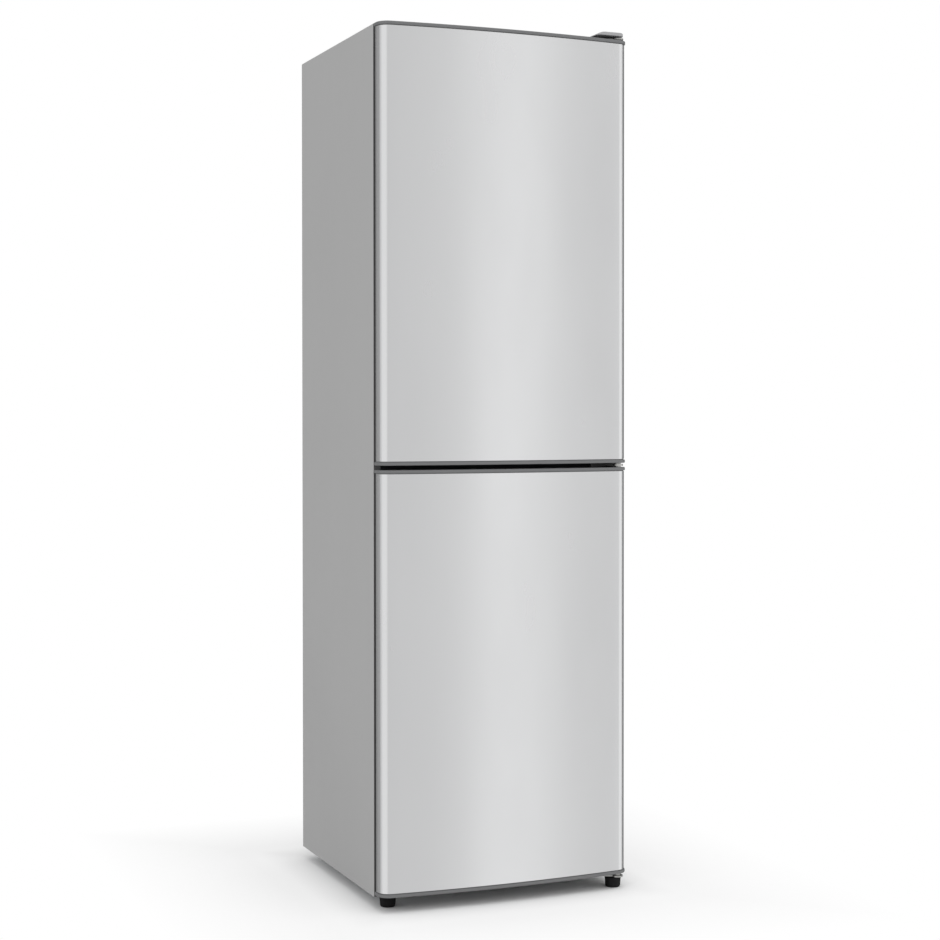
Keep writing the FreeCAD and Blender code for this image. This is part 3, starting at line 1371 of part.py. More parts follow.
ring = [round_rect(*dyke_box, d.dyke_corner), round_rect(*dyke_inner, d.dyke_corner / 2)]
ring_fill = [round_rect(*grown(dyke_box, -d.liner_sheet), d.dyke_corner - d.liner_sheet),
             round_rect(*grown(dyke_inner, d.liner_sheet), d.dyke_corner / 2 + d.liner_sheet)]
field = [round_rect(*plateau_box, d.dyke_corner)]
field_fill = [round_rect(*grown(plateau_box, -d.liner_sheet), d.dyke_corner - d.liner_sheet)]
for name, low, high in (("upper_door", upper_bottom, upper_top), ("lower_door", lower_bottom, lower_top)):
    door_skin(name + "_skin", low, high)
    door_cap(name + "_top_cap", high - d.cap_height, False)
    door_cap(name + "_bottom_cap", low, True)
    door_bushes(name + "_bushes", low, high)
    gasket(name + "_gasket", low, high)
door_foam("upper_door_foam", upper_bottom, upper_top, ring_fill, d.upper_dyke)
balcony_lugs(door_liner("upper_door_liner", upper_bottom, upper_top, ring, ring_fill, d.upper_dyke))
door_foam("lower_door_foam", lower_bottom, lower_top, field_fill, d.lower_plateau)
door_liner("lower_door_liner", lower_bottom, lower_top, field, field_fill, d.lower_plateau)
for number, level in enumerate(balcony_levels, start=1):
    balcony("door_balcony_%d" % number, level, d.bottle_height if number == 1 else d.balcony_height)

doc.recompute()

for item in doc.Objects:
    if "Invalid" in item.State or "Error" in item.State:
        raise RuntimeError("%s: %s" % (item.Label, item.State))
os.makedirs("parts", exist_ok=True)
for label, item in nodes.items():
    shape = item.Shape
    if shape.isNull() or not shape.isValid() or not shape.Solids:
        raise RuntimeError("bad shape: " + label)
    shape.exportStep("parts/%s.step" % label)
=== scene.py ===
import json
import math

import bmesh
import bpy
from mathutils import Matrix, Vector

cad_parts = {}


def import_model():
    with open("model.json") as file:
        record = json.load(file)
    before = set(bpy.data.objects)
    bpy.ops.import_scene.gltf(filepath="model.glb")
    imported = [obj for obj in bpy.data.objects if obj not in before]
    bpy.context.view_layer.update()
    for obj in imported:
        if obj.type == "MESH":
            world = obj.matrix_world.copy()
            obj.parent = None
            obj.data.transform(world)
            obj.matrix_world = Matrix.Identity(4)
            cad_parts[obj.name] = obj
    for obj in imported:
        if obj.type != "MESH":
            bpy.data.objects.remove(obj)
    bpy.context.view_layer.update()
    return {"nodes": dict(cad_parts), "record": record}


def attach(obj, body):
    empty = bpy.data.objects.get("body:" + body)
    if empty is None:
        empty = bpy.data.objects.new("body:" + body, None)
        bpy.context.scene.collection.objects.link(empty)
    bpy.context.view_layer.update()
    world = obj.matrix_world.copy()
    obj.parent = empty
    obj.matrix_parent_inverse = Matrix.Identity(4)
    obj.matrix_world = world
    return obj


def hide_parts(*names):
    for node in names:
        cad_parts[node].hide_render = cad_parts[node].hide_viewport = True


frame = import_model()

# Lengths are in metres and angles in degrees


def grey(value):
    return (value, value, value)


def toned(color, factor):
    return [min(1.0, channel * factor) for channel in color]


WHITE = grey(1.0)


def linked(name, data):
    """A new object of the scene with this data."""
    item = bpy.data.objects.new(name, data)
    bpy.context.scene.collection.objects.link(item)
    return item


def plain_mesh(name, points, faces):
    mesh = bpy.data.meshes.new(name)
    mesh.from_pydata(points, [], faces)
    return mesh


# Camera: fitted to the straight edges of the photographed refrigerator

CAMERA_PLACE = (-1.4994, -3.7075, 0.9865)
CAMERA_ANGLES = (89.229, 0.0215, -22.733)
CAMERA_LENS = 71.698
CAMERA_SENSOR = 36
CAMERA_SHIFT_X = -0.01278
CAMERA_SHIFT_Y = -0.036
CAMERA_REACH = 60


def camera():
    data = bpy.data.cameras.new("camera")
    data.sensor_width = CAMERA_SENSOR
    data.lens = CAMERA_LENS
    data.shift_x = CAMERA_SHIFT_X
    data.shift_y = CAMERA_SHIFT_Y
    data.clip_end = CAMERA_REACH
    shot = linked("camera", data)
    shot.location = CAMERA_PLACE
    shot.rotation_euler = [math.radians(angle) for angle in CAMERA_ANGLES]
    bpy.context.scene.camera = shot


# Node materials. Noise stays mostly between NOISE_LOW and NOISE_HIGH. The mix node's colours are
# taken by their place, because it has other inputs of the same names.

NOISE_LOW, NOISE_HIGH = 0.3, 0.7
MIX_SHARE, MIX_FIRST, MIX_SECOND, MIX_RESULT = 0, 6, 7, 2


class Nodes:
    """Adds nodes to one tree. An input takes a number, a colour or another node's output."""

    def __init__(self, tree):
        self.tree = tree

    def feed(self, target, value):
        if isinstance(value, bpy.types.NodeSocket):
            self.tree.links.new(value, target)
        elif target.type == "RGBA":
            target.default_value = (*value, 1)
        else:
            target.default_value = value

    def add(self, kind, inputs=None, **settings):
        made = self.tree.nodes.new(kind)
        for setting, value in settings.items():
            setattr(made, setting, value)
        for socket, value in (inputs or {}).items():
            self.feed(made.inputs[socket], value)
        return made

    def combine(self, first, second, operation="ADD"):
        """One number from two."""
        return self.add("ShaderNodeMath", {0: first, 1: second}, operation=operation).outputs[0]

    def span(self, value, low, high, start=0.0, stop=1.0):
        """The value, from start to stop, turned into a number from low to high."""
        inputs = {"Value": value, "From Min": start, "From Max": stop}
        inputs.update({"To Min": low, "To Max": high})
        return self.add("ShaderNodeMapRange", inputs).outputs["Result"]

    def tint(self, share, first, second):
        """The first colour where the share is 0, and the second where it is 1."""
        inputs = {MIX_SHARE: share, MIX_FIRST: first, MIX_SECOND: second}
        return self.add("ShaderNodeMix", inputs, data_type="RGBA").outputs[MIX_RESULT]


class Finish(Nodes):
    """A procedural material round one principled shader, with textures in the piece's space."""

    def __init__(self, name, **sockets):
        self.material = bpy.data.materials.new(name)
        self.material.use_nodes = True
        super().__init__(self.material.node_tree)
        self.shader = self.tree.nodes["Principled BSDF"]
        for socket, value in sockets.items():
            self.set(socket.replace("_", " "), value)

    def set(self, socket, value):
        self.feed(self.shader.inputs[socket], value)

    def place(self, stretch=(1, 1, 1)):
        start = self.add("ShaderNodeTexCoord").outputs["Object"]
        return self.add("ShaderNodeMapping", {"Vector": start, "Scale": stretch}).outputs["Vector"]

    def axis(self, letter):
        """The place along one axis."""
        return self.add("ShaderNodeSeparateXYZ", {"Vector": self.place()}).outputs[letter]

    def noise(self, size, detail=2.0, stretch=(1, 1, 1)):
        """Soft noise whose features are about this size."""
        inputs = {"Vector": self.place(stretch), "Scale": 1 / size, "Detail": detail}
        return self.add("ShaderNodeTexNoise", inputs).outputs["Fac"]

    def cells(self, size):
        """Round cells about this size, darkest at their centres."""
        inputs = {"Vector": self.place(), "Scale": 1 / size}
        return self.add("ShaderNodeTexVoronoi", inputs).outputs["Distance"]

    def paint(self, share, first, second):
        """The base colour, between these two."""
        self.set("Base Color", self.tint(share, first, second))

    def drift(self, noise, color, dark, light):
        """The base colour, which the noise takes from darker to lighter by these factors."""
        self.paint(noise, toned(color, dark), toned(color, light))

    def roughen(self, noise, low, high, start=NOISE_LOW, stop=NOISE_HIGH):
        self.set("Roughness", self.span(noise, low, high, start, stop))

    def bump(self, height, depth, strength):
        inputs = {"Height": height, "Distance": depth, "Strength": strength}
        self.set("Normal", self.add("ShaderNodeBump", inputs).outputs["Normal"])


# Painted sheet

DRIFT_SIZE = 0.35
GRAIN_SHARE = 0.4
# The Y span over which the frame's front face turns from painted shade, near black, to its paint
FRAME_SHADE_TO, FRAME_LIT_FROM = -0.2202, -0.2199


def sheet_paint(name, roughness, metallic, peel, grain):
    """Factory paint on steel sheet, without its colour: faint wipes, orange peel and a grain."""
    made = Finish(name, Metallic=metallic)
    wipe = made.noise(size=0.12, detail=3.0, stretch=(1, 1, 0.3))
    made.roughen(wipe, roughness - 0.03, roughness + 0.03)
    fine = made.combine(made.noise(grain, detail=1.0), GRAIN_SHARE, "MULTIPLY")
    made.bump(made.combine(made.noise(peel), fine), depth=0.00003, strength=0.5)
    return made


def cabinet_paint():
    """Silver-grey paint. The frame's front face at the very front, behind the doors, is near black
    as on the rail: painted shade of the gaps round the doors.
    """
    made = sheet_paint("cabinet_paint", roughness=0.42, metallic=0.0, peel=0.0018, grain=0.0005)
    side = made.tint(made.noise(DRIFT_SIZE, detail=1.0), grey(0.375), grey(0.395))
    frame_shade_mask = made.span(made.axis("Y"), 0.0, 1.0, FRAME_SHADE_TO, FRAME_LIT_FROM)
    # Painted shade: the frame's front face is near black because the gaps round the doors are in
    # shade.
    made.paint(frame_shade_mask, grey(0.08), side)
    return made


def door_paint():
    made = sheet_paint("door_paint", roughness=0.25, metallic=1.0, peel=0.0022, grain=0.0004)
    made.drift(made.noise(DRIFT_SIZE, detail=1.0), (0.545, 0.547, 0.552), dark=0.975, light=1.025)
    return made


# Bare metal. The stretch is small along the axis that the streaks follow.

PATCH_SIZE = 0.05
HINGE_STRETCH = (0.2, 1, 1)
# Where the middle hinge turns from painted shade on its flange to bare steel on its nose
NOSE_SHADE_TO, NOSE_LIT_FROM = 0.243, 0.246


def streaked(name, roughness, stretch):
    """Bare or plated metal with drawn streaks and dull patches, without its colour."""
    made = Finish(name, Metallic=1.0)
    streak = made.noise(size=0.004, detail=3.0, stretch=stretch)
    patch = made.noise(PATCH_SIZE, detail=3.0)
    halves = [made.combine(noise, 0.5, "MULTIPLY") for noise in (streak, patch)]
    made.roughen(made.combine(*halves), roughness - 0.1, roughness + 0.1)
    made.bump(streak, depth=0.00002, strength=0.5)
    return made


def rolled(name, color, roughness, stretch):
    """The same metal, darker and lighter with its patches."""
    made = streaked(name, roughness, stretch)
    made.drift(made.noise(PATCH_SIZE, detail=3.0), color, dark=0.88, light=1.08)
    return made


def middle_hinge_steel_painted_shade():
    """A hinge plate, near black on its flange as painted shade of the gap, as on the rail, and bare
    steel on the nose that carries the pins.
    """
    made = streaked("middle_hinge_steel_painted_shade", roughness=0.45, stretch=HINGE_STRETCH)
    lit_nose = made.span(made.axis("X"), 0.0, 1.0, NOSE_SHADE_TO, NOSE_LIT_FROM)
    # Painted shade: the flange in the gap is near black, and the nose is bare steel.
    made.paint(lit_nose, (0.015, 0.015, 0.016), (0.4, 0.4, 0.39))
    made.set("Metallic", lit_nose)
    return made


def copper():
    made = Finish("copper", Metallic=1.0)
    patina = made.noise(size=0.015, detail=4.0)
    dull = made.span(patina, 0.0, 1.0, start=0.35, stop=0.7)
    made.paint(dull, (0.86, 0.45, 0.28), (0.42, 0.2, 0.12))
    made.roughen(patina, 0.2, 0.45)
    made.bump(made.noise(size=0.0015), depth=0.00002, strength=0.4)
    return made


def compressor_paint():
    """Black stove enamel over pressed steel, with dust on what looks up."""
    made = Finish("compressor_paint")
    normal = made.add("ShaderNodeNewGeometry").outputs["Normal"]
    up = made.add("ShaderNodeSeparateXYZ", {"Vector": normal}).outputs["Z"]
    lying = made.span(up, 0.0, 0.5, start=0.2, stop=1.0)
    dust = made.combine(lying, made.noise(size=0.02, detail=4.0), "MULTIPLY")
    made.paint(dust, (0.011, 0.011, 0.012), (0.09, 0.085, 0.08))
    made.roughen(dust, 0.3, 0.6, start=0.0, stop=0.4)
    made.bump(made.noise(size=0.003), depth=0.00006, strength=0.5)
    return made


# Plastic, rubber and glass


def moulded(name, color, roughness, grain=0.0006, depth=0.00003, specular=0.5):
    """Moulded plastic or rubber with an eroded grain and faint clouding."""
    made = Finish(name, Specular_IOR_Level=specular)
    made.drift(made.noise(size=0.06), color, dark=0.94, light=1.05)
    made.roughen(made.noise(size=0.03, detail=4.0), roughness - 0.06, roughness + 0.06)
    made.bump(made.noise(grain, detail=3.0), depth, strength=0.6)
    return made


def liner_plastic():
    """Vacuum-formed sheet with a very slight waviness."""
    made = Finish("liner_plastic")
    cloud = made.noise(size=0.12, detail=1.0)
    made.paint(cloud, (0.77, 0.78, 0.775), (0.795, 0.805, 0.8))
    made.roughen(made.noise(size=0.08, detail=1.0), 0.34, 0.38)
    made.bump(made.noise(size=0.0012), depth=0.00001, strength=0.3)
    return made


def foam():
    """Rigid foam: a skin of closed cells, each darkest at its centre."""
    made = Finish("foam", Roughness=0.9)
    cell = made.cells(size=0.0012)
    made.paint(cell, (0.5, 0.42, 0.22), (0.78, 0.71, 0.47))
    made.bump(made.combine(cell, made.noise(size=0.03, detail=3.0)), depth=0.0005, strength=0.7)
    return made


def shelf_glass():
    """Float glass with a faint green body and a few dull smears."""
    made = Finish("shelf_glass", Transmission_Weight=0.92, IOR=1.5)
    smear = made.noise(size=0.08, detail=4.0)
    made.paint(smear, (0.82, 0.93, 0.89), (0.9, 0.97, 0.95))
    made.roughen(smear, 0.0, 0.06, start=0.35, stop=0.8)
    return made


def lamp_glass():
    """Frosted bulb glass."""
    made = Finish("lamp_glass", Transmission_Weight=0.35, IOR=1.45, Base_Color=(0.93, 0.91, 0.85))
    frost = made.noise(size=0.0012, detail=3.0)
    made.roughen(frost, 0.25, 0.5)
    made.bump(frost, depth=0.00002, strength=0.5)
    return made


def drawer_plastic():
    """Clear tinted styrene with a frosted grain."""
    made = Finish("drawer_plastic", Transmission_Weight=0.72, IOR=1.2)
    cloud = made.noise(size=0.07, detail=3.0)
    made.paint(cloud, (0.78, 0.87, 0.93), (0.9, 0.95, 0.98))
    made.roughen(cloud, 0.12, 0.24)
    made.bump(made.noise(size=0.0015), depth=0.00002, strength=0.4)
    return made


def balcony_plastic():
    """The same styrene, clearer and smoother."""
    made = Finish("balcony_plastic", Transmission_Weight=0.7, IOR=1.2)
    cloud = made.noise(size=0.05, detail=3.0)
    made.paint(cloud, (0.82, 0.89, 0.93), (0.92, 0.96, 0.98))
    made.roughen(cloud, 0.08, 0.18)
    made.bump(made.noise(size=0.0015), depth=0.00002, strength=0.3)
    return made


ROLLED = {
    "bare_steel": {"color": (0.55, 0.56, 0.57), "roughness": 0.42, "stretch": (1, 1, 0.04)},
    "hinge_steel": {"color": (0.32, 0.32, 0.31), "roughness": 0.45, "stretch": HINGE_STRETCH},
    "evaporator_metal": {"color": (0.78, 0.79, 0.8), "roughness": 0.35, "stretch": (1, 1, 0.05)},
}
MOULDED = {
    "cap_plastic": {"color": (0.14, 0.142, 0.145), "roughness": 0.38},
    "cover_plastic": {"color": (0.33, 0.33, 0.335), "roughness": 0.45},
    # The gasket's near black is painted shade of the gaps round the doors.
    "gasket": {"color": (0.04, 0.04, 0.042), "roughness": 0.6, "grain": 0.0009, "depth": 0.00004},
    "bush_nylon": {"color": (0.72, 0.71, 0.67), "roughness": 0.4, "grain": 0.0008},
    "foot_plastic": {"color": (0.007, 0.007, 0.0075), "roughness": 0.6, "grain": 0.0007,
                     "depth": 0.00005, "specular": 0.12},
    # Near black for the centre rail in the gap between the doors: painted shade of the gap.
    "rail_painted_shade": {"color": (0.014, 0.014, 0.015), "roughness": 0.7, "grain": 0.0007,
                   "depth": 0.00004, "specular": 0.15},
    "mount_rubber": {"color": grey(0.018), "roughness": 0.75, "grain": 0.0012, "depth": 0.00006},
    "trim_plastic": {"color": (0.72, 0.73, 0.735), "roughness": 0.3, "grain": 0.0012,
                     "depth": 0.00002},
    "drain_plastic": {"color": (0.6, 0.6, 0.56), "roughness": 0.5, "grain": 0.001},
}
SINGLE = (cabinet_paint, door_paint, middle_hinge_steel_painted_shade, copper, compressor_paint, liner_plastic,
          foam, shelf_glass, lamp_glass, drawer_plastic, balcony_plastic)

finishes = {name: rolled(name, **values).material for name, values in ROLLED.items()}
finishes.update({name: moulded(name, **values).material for name, values in MOULDED.items()})
finishes.update({make.__name__: make().material for make in SINGLE})

# Nodes in the gap between the doors, with a near-black finish in place of their slot's: painted
# shade of the gap

GAP_PAINTED_SHADE = {"centre_rail": "rail_painted_shade", "middle_hinge": "middle_hinge_steel_painted_shade"}


def dress():
    """Gives each carried-over node the finish of its slot in the record, and the nodes in the gap
    between the doors their near-black painted shade.
    """
    for part in frame["record"]["subparts"]:
        materials = frame["nodes"][part["node"]].data.materials
        materials.clear()
        materials.append(finishes[GAP_PAINTED_SHADE.get(part["node"], part["material_slot"])])


# Forms. A form is the points and faces of a closed skin.


def arc(x, y, radius, start, stop, steps):
    """Points of an arc from one angle to the other."""
    turns = [math.radians(start + (stop - start) * k / steps) for k in range(steps + 1)]
    return [(x + radius * math.cos(turn), y + radius * math.sin(turn)) for turn in turns]


def fluted(x, y, radius, depth, flutes, steps):
    """A round outline with flutes of this depth, of so many steps each."""
    outline = []
    for k in range(flutes * steps):
        turn = math.tau * k / (flutes * steps)
        r = radius - depth * (0.5 - 0.5 * math.cos(turn * flutes))
        outline.append((x + r * math.cos(turn), y + r * math.sin(turn)))
    return outline


def rounded(x0, x1, y0, y1, radii, steps=8):
    """A rectangle with a radius for each corner: right rear, left rear, left front, right front."""
    corners = [(x1, y1, -1, -1), (x0, y1, 1, -1), (x0, y0, 1, 1), (x1, y0, -1, 1)]
    outline = []
    for k, ((x, y, side_x, side_y), r) in enumerate(zip(corners, radii)):
        outline += arc(x + side_x * r, y + side_y * r, r, 90 * k, 90 * k + 90, steps)
    return outline


def stack(rings):
    """A form over outlines of as many points each, given as (outline, z)."""
    count = len(rings[0][0])
    points = [(x, y, z) for outline, z in rings for x, y in outline]
    faces = [tuple(reversed(range(count))), tuple(range(len(points) - count, len(points)))]
    for start in range(0, len(points) - count, count):
        for k in range(count):
            after = (k + 1) % count
            faces.append((start + k, start + after, start + after + count, start + k + count))
    return points, faces


def box(x0, x1, y0, y1, z0, z1):
    outline = [(x0, y0), (x1, y0), (x1, y1), (x0, y1)]
    return stack([(outline, z0), (outline, z1)])


def revolved(x, y, section, sides=48):
    """A turned form about an upright axis, from (radius, z) pairs."""
    return stack([(arc(x, y, radius, 0, 360 - 360 / sides, sides - 1), z) for radius, z in section])


def turned_over(form, order):
    """The form with its axes taken in another order."""
    points, faces = form
    return [tuple(point[k] for k in order) for point in points], faces


def along_x(form):
    """A form built upright, laid along the X axis."""
    return turned_over(form, (2, 0, 1))


# Pieces. A tool that cuts a piece stands PROUD of it where it comes out.

SHARP_ANGLE = 35
PROUD = 0.001


def closed_mesh(name, points, faces):
    """A mesh with all its faces turned outwards."""
    mesh = plain_mesh(name, points, faces)
    work = bmesh.new()
    work.from_mesh(mesh)
    bmesh.ops.recalc_face_normals(work, faces=work.faces)
    work.to_mesh(mesh)
    work.free()
    return mesh


def smooth(item):
    item.data.shade_smooth()
    item.data.set_sharp_from_angle(angle=math.radians(SHARP_ANGLE))


def settle(item, body, slot, nodes):
    """Puts the piece on its body, in the place of CAD nodes."""
    item.data.materials.append(finishes[slot])
    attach(item, body)
    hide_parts(*nodes)


def piece(name, forms, body, slot, *nodes):
    """One mesh from closed forms, shaded smooth but for its edges, in the place of CAD nodes."""
    points, faces = [], []
    for form_points, form_faces in forms:
        faces += [tuple(len(points) + k for k in face) for face in form_faces]
        points += form_points
    item = linked(name, closed_mesh(name, points, faces))
    smooth(item)
    settle(item, body, slot, nodes)
    return item


def pipe(name, runs, radius, body, slot, *nodes):
    """Round rod or tube along each list of points, in the place of CAD nodes."""
    data = bpy.data.curves.new(name, "CURVE")
    data.dimensions = "3D"
    data.bevel_depth = radius
    data.bevel_resolution = 2
    data.use_fill_caps = True
    for run in runs:
        line = data.splines.new("POLY")
        line.points.add(len(run) - 1)
        for point, place in zip(line.points, run):
            point.co = (*place, 1)
        line.use_smooth = True
    settle(linked(name, data), body, slot, nodes)


def cut(item, *forms):
    """Takes the closed forms out of the piece for good."""
    for form in forms:
        tool = linked("tool", closed_mesh("tool", *form))
        change = item.modifiers.new("cut", "BOOLEAN")
        change.operation = "DIFFERENCE"
        change.solver = "EXACT"
        change.object = tool
        graph = bpy.context.evaluated_depsgraph_get()
        item.data = bpy.data.meshes.new_from_object(item.evaluated_get(graph))
        item.modifiers.clear()
        bpy.data.objects.remove(tool)
    smooth(item)


# Doors, from above: the rear faces of cap and skin, the long bow and the rounding of its corners.
# DOORS gives each door's lowest and highest point.

DOOR_HALF = 0.270
DOOR_BACK = -0.228825
SKIN_BACK = -0.233825
BOW_RADIUS = 2.4375
BOW_CENTRE = 2.161675
CORNER_RADIUS = 0.024
CORNER_X = 0.246
CORNER_Y = BOW_CENTRE - math.sqrt((BOW_RADIUS - CORNER_RADIUS) ** 2 - CORNER_X ** 2)
CORNER_STEPS, BOW_STEPS = 14, 30
SHEET = 0.0008
LINER_INSET = 0.003
DOORS = {"upper_door": (0.8795, 1.7475), "lower_door": (0.031, 0.8705)}

CAP_HEIGHT = 0.008
CAP_LIP = 0.002
CAP_SOFT = 0.0016
# Offset from the skin, and height: the outside of the cap, and the groove at the skin
CAP_GROOVE = [(CAP_LIP, 0.0054), (0.0017, 0.006), (0.001, 0.0064), (-0.0012, 0.0066),
              (-0.0012, CAP_HEIGHT)]

HINGE_X, HINGE_Y = 0.254, -0.247825
BUSH_SEAT, BUSH_DEPTH = 0.00668, 0.007


def door_plan(offset, rear):
    """The door from above, larger by the offset, from its left rear edge to the right one."""
    lean = math.degrees(math.atan2(CORNER_X, BOW_CENTRE - CORNER_Y))
    side, corner = DOOR_HALF + offset, CORNER_RADIUS + offset
    left = arc(-CORNER_X, CORNER_Y, corner, 180, 270 - lean, CORNER_STEPS)
    bow = arc(0, BOW_CENTRE, BOW_RADIUS + offset, 270 - lean, 270 + lean, BOW_STEPS)
    right = arc(CORNER_X, CORNER_Y, corner, 270 + lean, 360, CORNER_STEPS)
    return [(-side, rear)] + left + bow[1:-1] + right + [(side, rear)]


def door_skins():
    """Painted sheet, bent in one smooth sweep, its rear edges hemmed to the liner."""
    hem, liner_edge = SKIN_BACK + SHEET, DOOR_HALF - LINER_INSET
    plan = [(-liner_edge, SKIN_BACK), (-liner_edge, hem)] + door_plan(0, hem)
    plan += [(liner_edge, hem), (liner_edge, SKIN_BACK)] + door_plan(-SHEET, SKIN_BACK)[::-1]
    for door, (low, high) in DOORS.items():
        name = door + "_skin"
        form = stack([(plan, low + CAP_HEIGHT), (plan, high - CAP_HEIGHT)])
        piece("visual_" + name, [form], door, "door_paint", name)


def door_caps():
    """End caps with a rounded rim, a groove where they meet the skin, and the seat of the bush."""
    rim = arc(CAP_LIP - CAP_SOFT, CAP_SOFT, CAP_SOFT, -90, 0, steps=6) + CAP_GROOVE
    for door, (low, high) in DOORS.items():
        for end, start, inwards in (("bottom", low, 1), ("top", high, -1)):
            name = door + "_" + end + "_cap"
            rings = [(door_plan(offset, DOOR_BACK), start + inwards * height)
                     for offset, height in rim]
            item = piece("visual_" + name, [stack(rings)], door, "cap_plastic", name)
            reach = sorted((start - inwards * PROUD, start + inwards * BUSH_DEPTH))
            cut(item, revolved(HINGE_X, HINGE_Y, [(BUSH_SEAT, z) for z in reach], sides=32))


# Cover of the top hinge: its rear half stands on the roof, and its front half over the door has its
# own underside. It is 2 to 6 mm further left than its solid, where the photograph shows it.

COVER_LEFT, COVER_RIGHT, COVER_FRONT, COVER_REAR = 0.1915, 0.2625, -0.2628, -0.1688
COVER_BASE, COVER_TOP = 1.750, 1.7630
COVER_SOFT = 0.0025
COVER_RAMP = 0.020
COVER_CORNERS = (0.004, 0.003, 0.009, 0.012)
CORNER_SHRINK = 0.8
OVER_DOOR_REAR, OVER_DOOR_LOW = -0.2215, 1.756


def hinge_cover():
    """A cover with a ramp on the left, rounded front corners and a soft upper edge."""
    levels = [(COVER_BASE, 0.0)]
    levels += arc(COVER_TOP - COVER_SOFT, COVER_SOFT, COVER_SOFT, -90, 0, steps=5)
    rings = []
    for z, inset in levels:
        ramp = COVER_RAMP * (z - COVER_BASE) / (COVER_TOP - COVER_BASE)
        radii = [radius - inset * CORNER_SHRINK for radius in COVER_CORNERS]
        rings.append((rounded(COVER_LEFT + ramp + inset, COVER_RIGHT - inset,
                              COVER_FRONT + inset, COVER_REAR - inset, radii), z))
    item = piece("visual_top_hinge_cover", [stack(rings)], "cabinet", "cover_plastic",
                 "top_hinge_cover")
    cut(item, box(COVER_LEFT - PROUD, COVER_RIGHT + PROUD, COVER_FRONT - PROUD, OVER_DOOR_REAR,
                  COVER_BASE - PROUD, OVER_DOOR_LOW))


# Levelling feet: x, y and the top of the stem, then the rim's radius, height and flute depth

FEET = {"left_foot": (-0.236, -0.204825, 0.047), "right_foot": (0.248, -0.237825, 0.028)}
FOOT_TOP = 0.0215
FOOT_RIM = [(0.0120, 0, 0), (0.0143, 0.0006, 0), (0.0152, 0.0022, 0), (0.0154, 0.0034, 0.0006),
            (0.0166, 0.0172, 0.0006), (0.0169, 0.0184, 0), (0.0170, 0.0200, 0), (0.0164, 0.0211, 0),
            (0.0152, FOOT_TOP, 0)]
FOOT_FLUTES = 24
THREAD_ROOT, THREAD_CREST, THREAD_STEP = 0.0035, 0.0040, 0.0005


def feet():
    """A fluted rim that widens upwards, a soft toe, and the threaded stem."""
    for name, (x, y, stem_top) in FEET.items():
        rim = [(fluted(x, y, radius, flute, FOOT_FLUTES, steps=3), z)
               for radius, z, flute in FOOT_RIM]
        thread = [(THREAD_CREST if k % 2 else THREAD_ROOT, FOOT_TOP + THREAD_STEP * k)
                  for k in range(int((stem_top - FOOT_TOP) / THREAD_STEP) + 1)]
        stem = revolved(x, y, thread, sides=20)
        piece("visual_" + name, [stack(rim), stem], name, "foot_plastic", name)


# Rear rollers: the place along the axle, then radius and depth in the side, from the bore outwards

ROLLERS = {"left_roller": -0.200, "right_roller": 0.200}
AXLE_Y, AXLE_Z = 0.211175, 0.012
ROLLER_HALF, ROLLER_BORE = 0.007, 0.0026
ROLLER_SIDE = [(ROLLER_BORE, 0.001), (0.0045, 0), (0.0060, 0), (0.0062, 0.0012), (0.0090, 0.0012),
               (0.0092, 0), (0.0108, 0), (0.0117, 0.0007), (0.0120, 0.0018)]


def rollers():
    """Rounded treads and a recessed web round the bore."""
    side = [(radius, ROLLER_HALF - depth) for radius, depth in ROLLER_SIDE]
    for name, x in ROLLERS.items():
        section = [(radius, x - along) for radius, along in side]
        section += [(radius, x + along) for radius, along in side[::-1]]
        form = along_x(revolved(AXLE_Y, AXLE_Z, section))
        item = piece("visual_" + name, [form], name, "foot_plastic", name)
        bore = [(ROLLER_BORE, x - ROLLER_HALF - PROUD), (ROLLER_BORE, x + ROLLER_HALF + PROUD)]
        cut(item, along_x(revolved(AXLE_Y, AXLE_Z, bore, sides=24)))


# Compressor: heights are above the underside of its plate

POT_X, POT_Y, POT_BASE = -0.060, 0.153175, 0.0321
POT_RADIUS, POT_HEIGHT = 0.068, 0.146
POT_FLAT, POT_BULGE = 0.040, 0.028
# How far the seam stands out, and its height
SEAM = [(0, 0.0683), (0.0022, 0.0689), (0.0040, 0.0702), (0.0040, 0.0758), (0.0022, 0.0771),
        (0, 0.0777)]
# Half the boss's width, and how far it reaches from the pot's axis
BOSS = [(0.017, POT_FLAT), (0.017, 0.0745), (0.0155, 0.076)]
BOSS_HEIGHT, BOSS_CORNER = 0.078, 0.003
STUB_RADIUS, STUB_REACH, STUB_HEIGHT = 0.003, 0.076, 0.090
PLATE_HALF_X, PLATE_HALF_Y, PLATE_CORNER, PLATE_THICKNESS = 0.074, 0.054, 0.009, 0.003
MOUNT_X, MOUNT_Y, MOUNT_HOLE = 0.065, 0.045, 0.0071


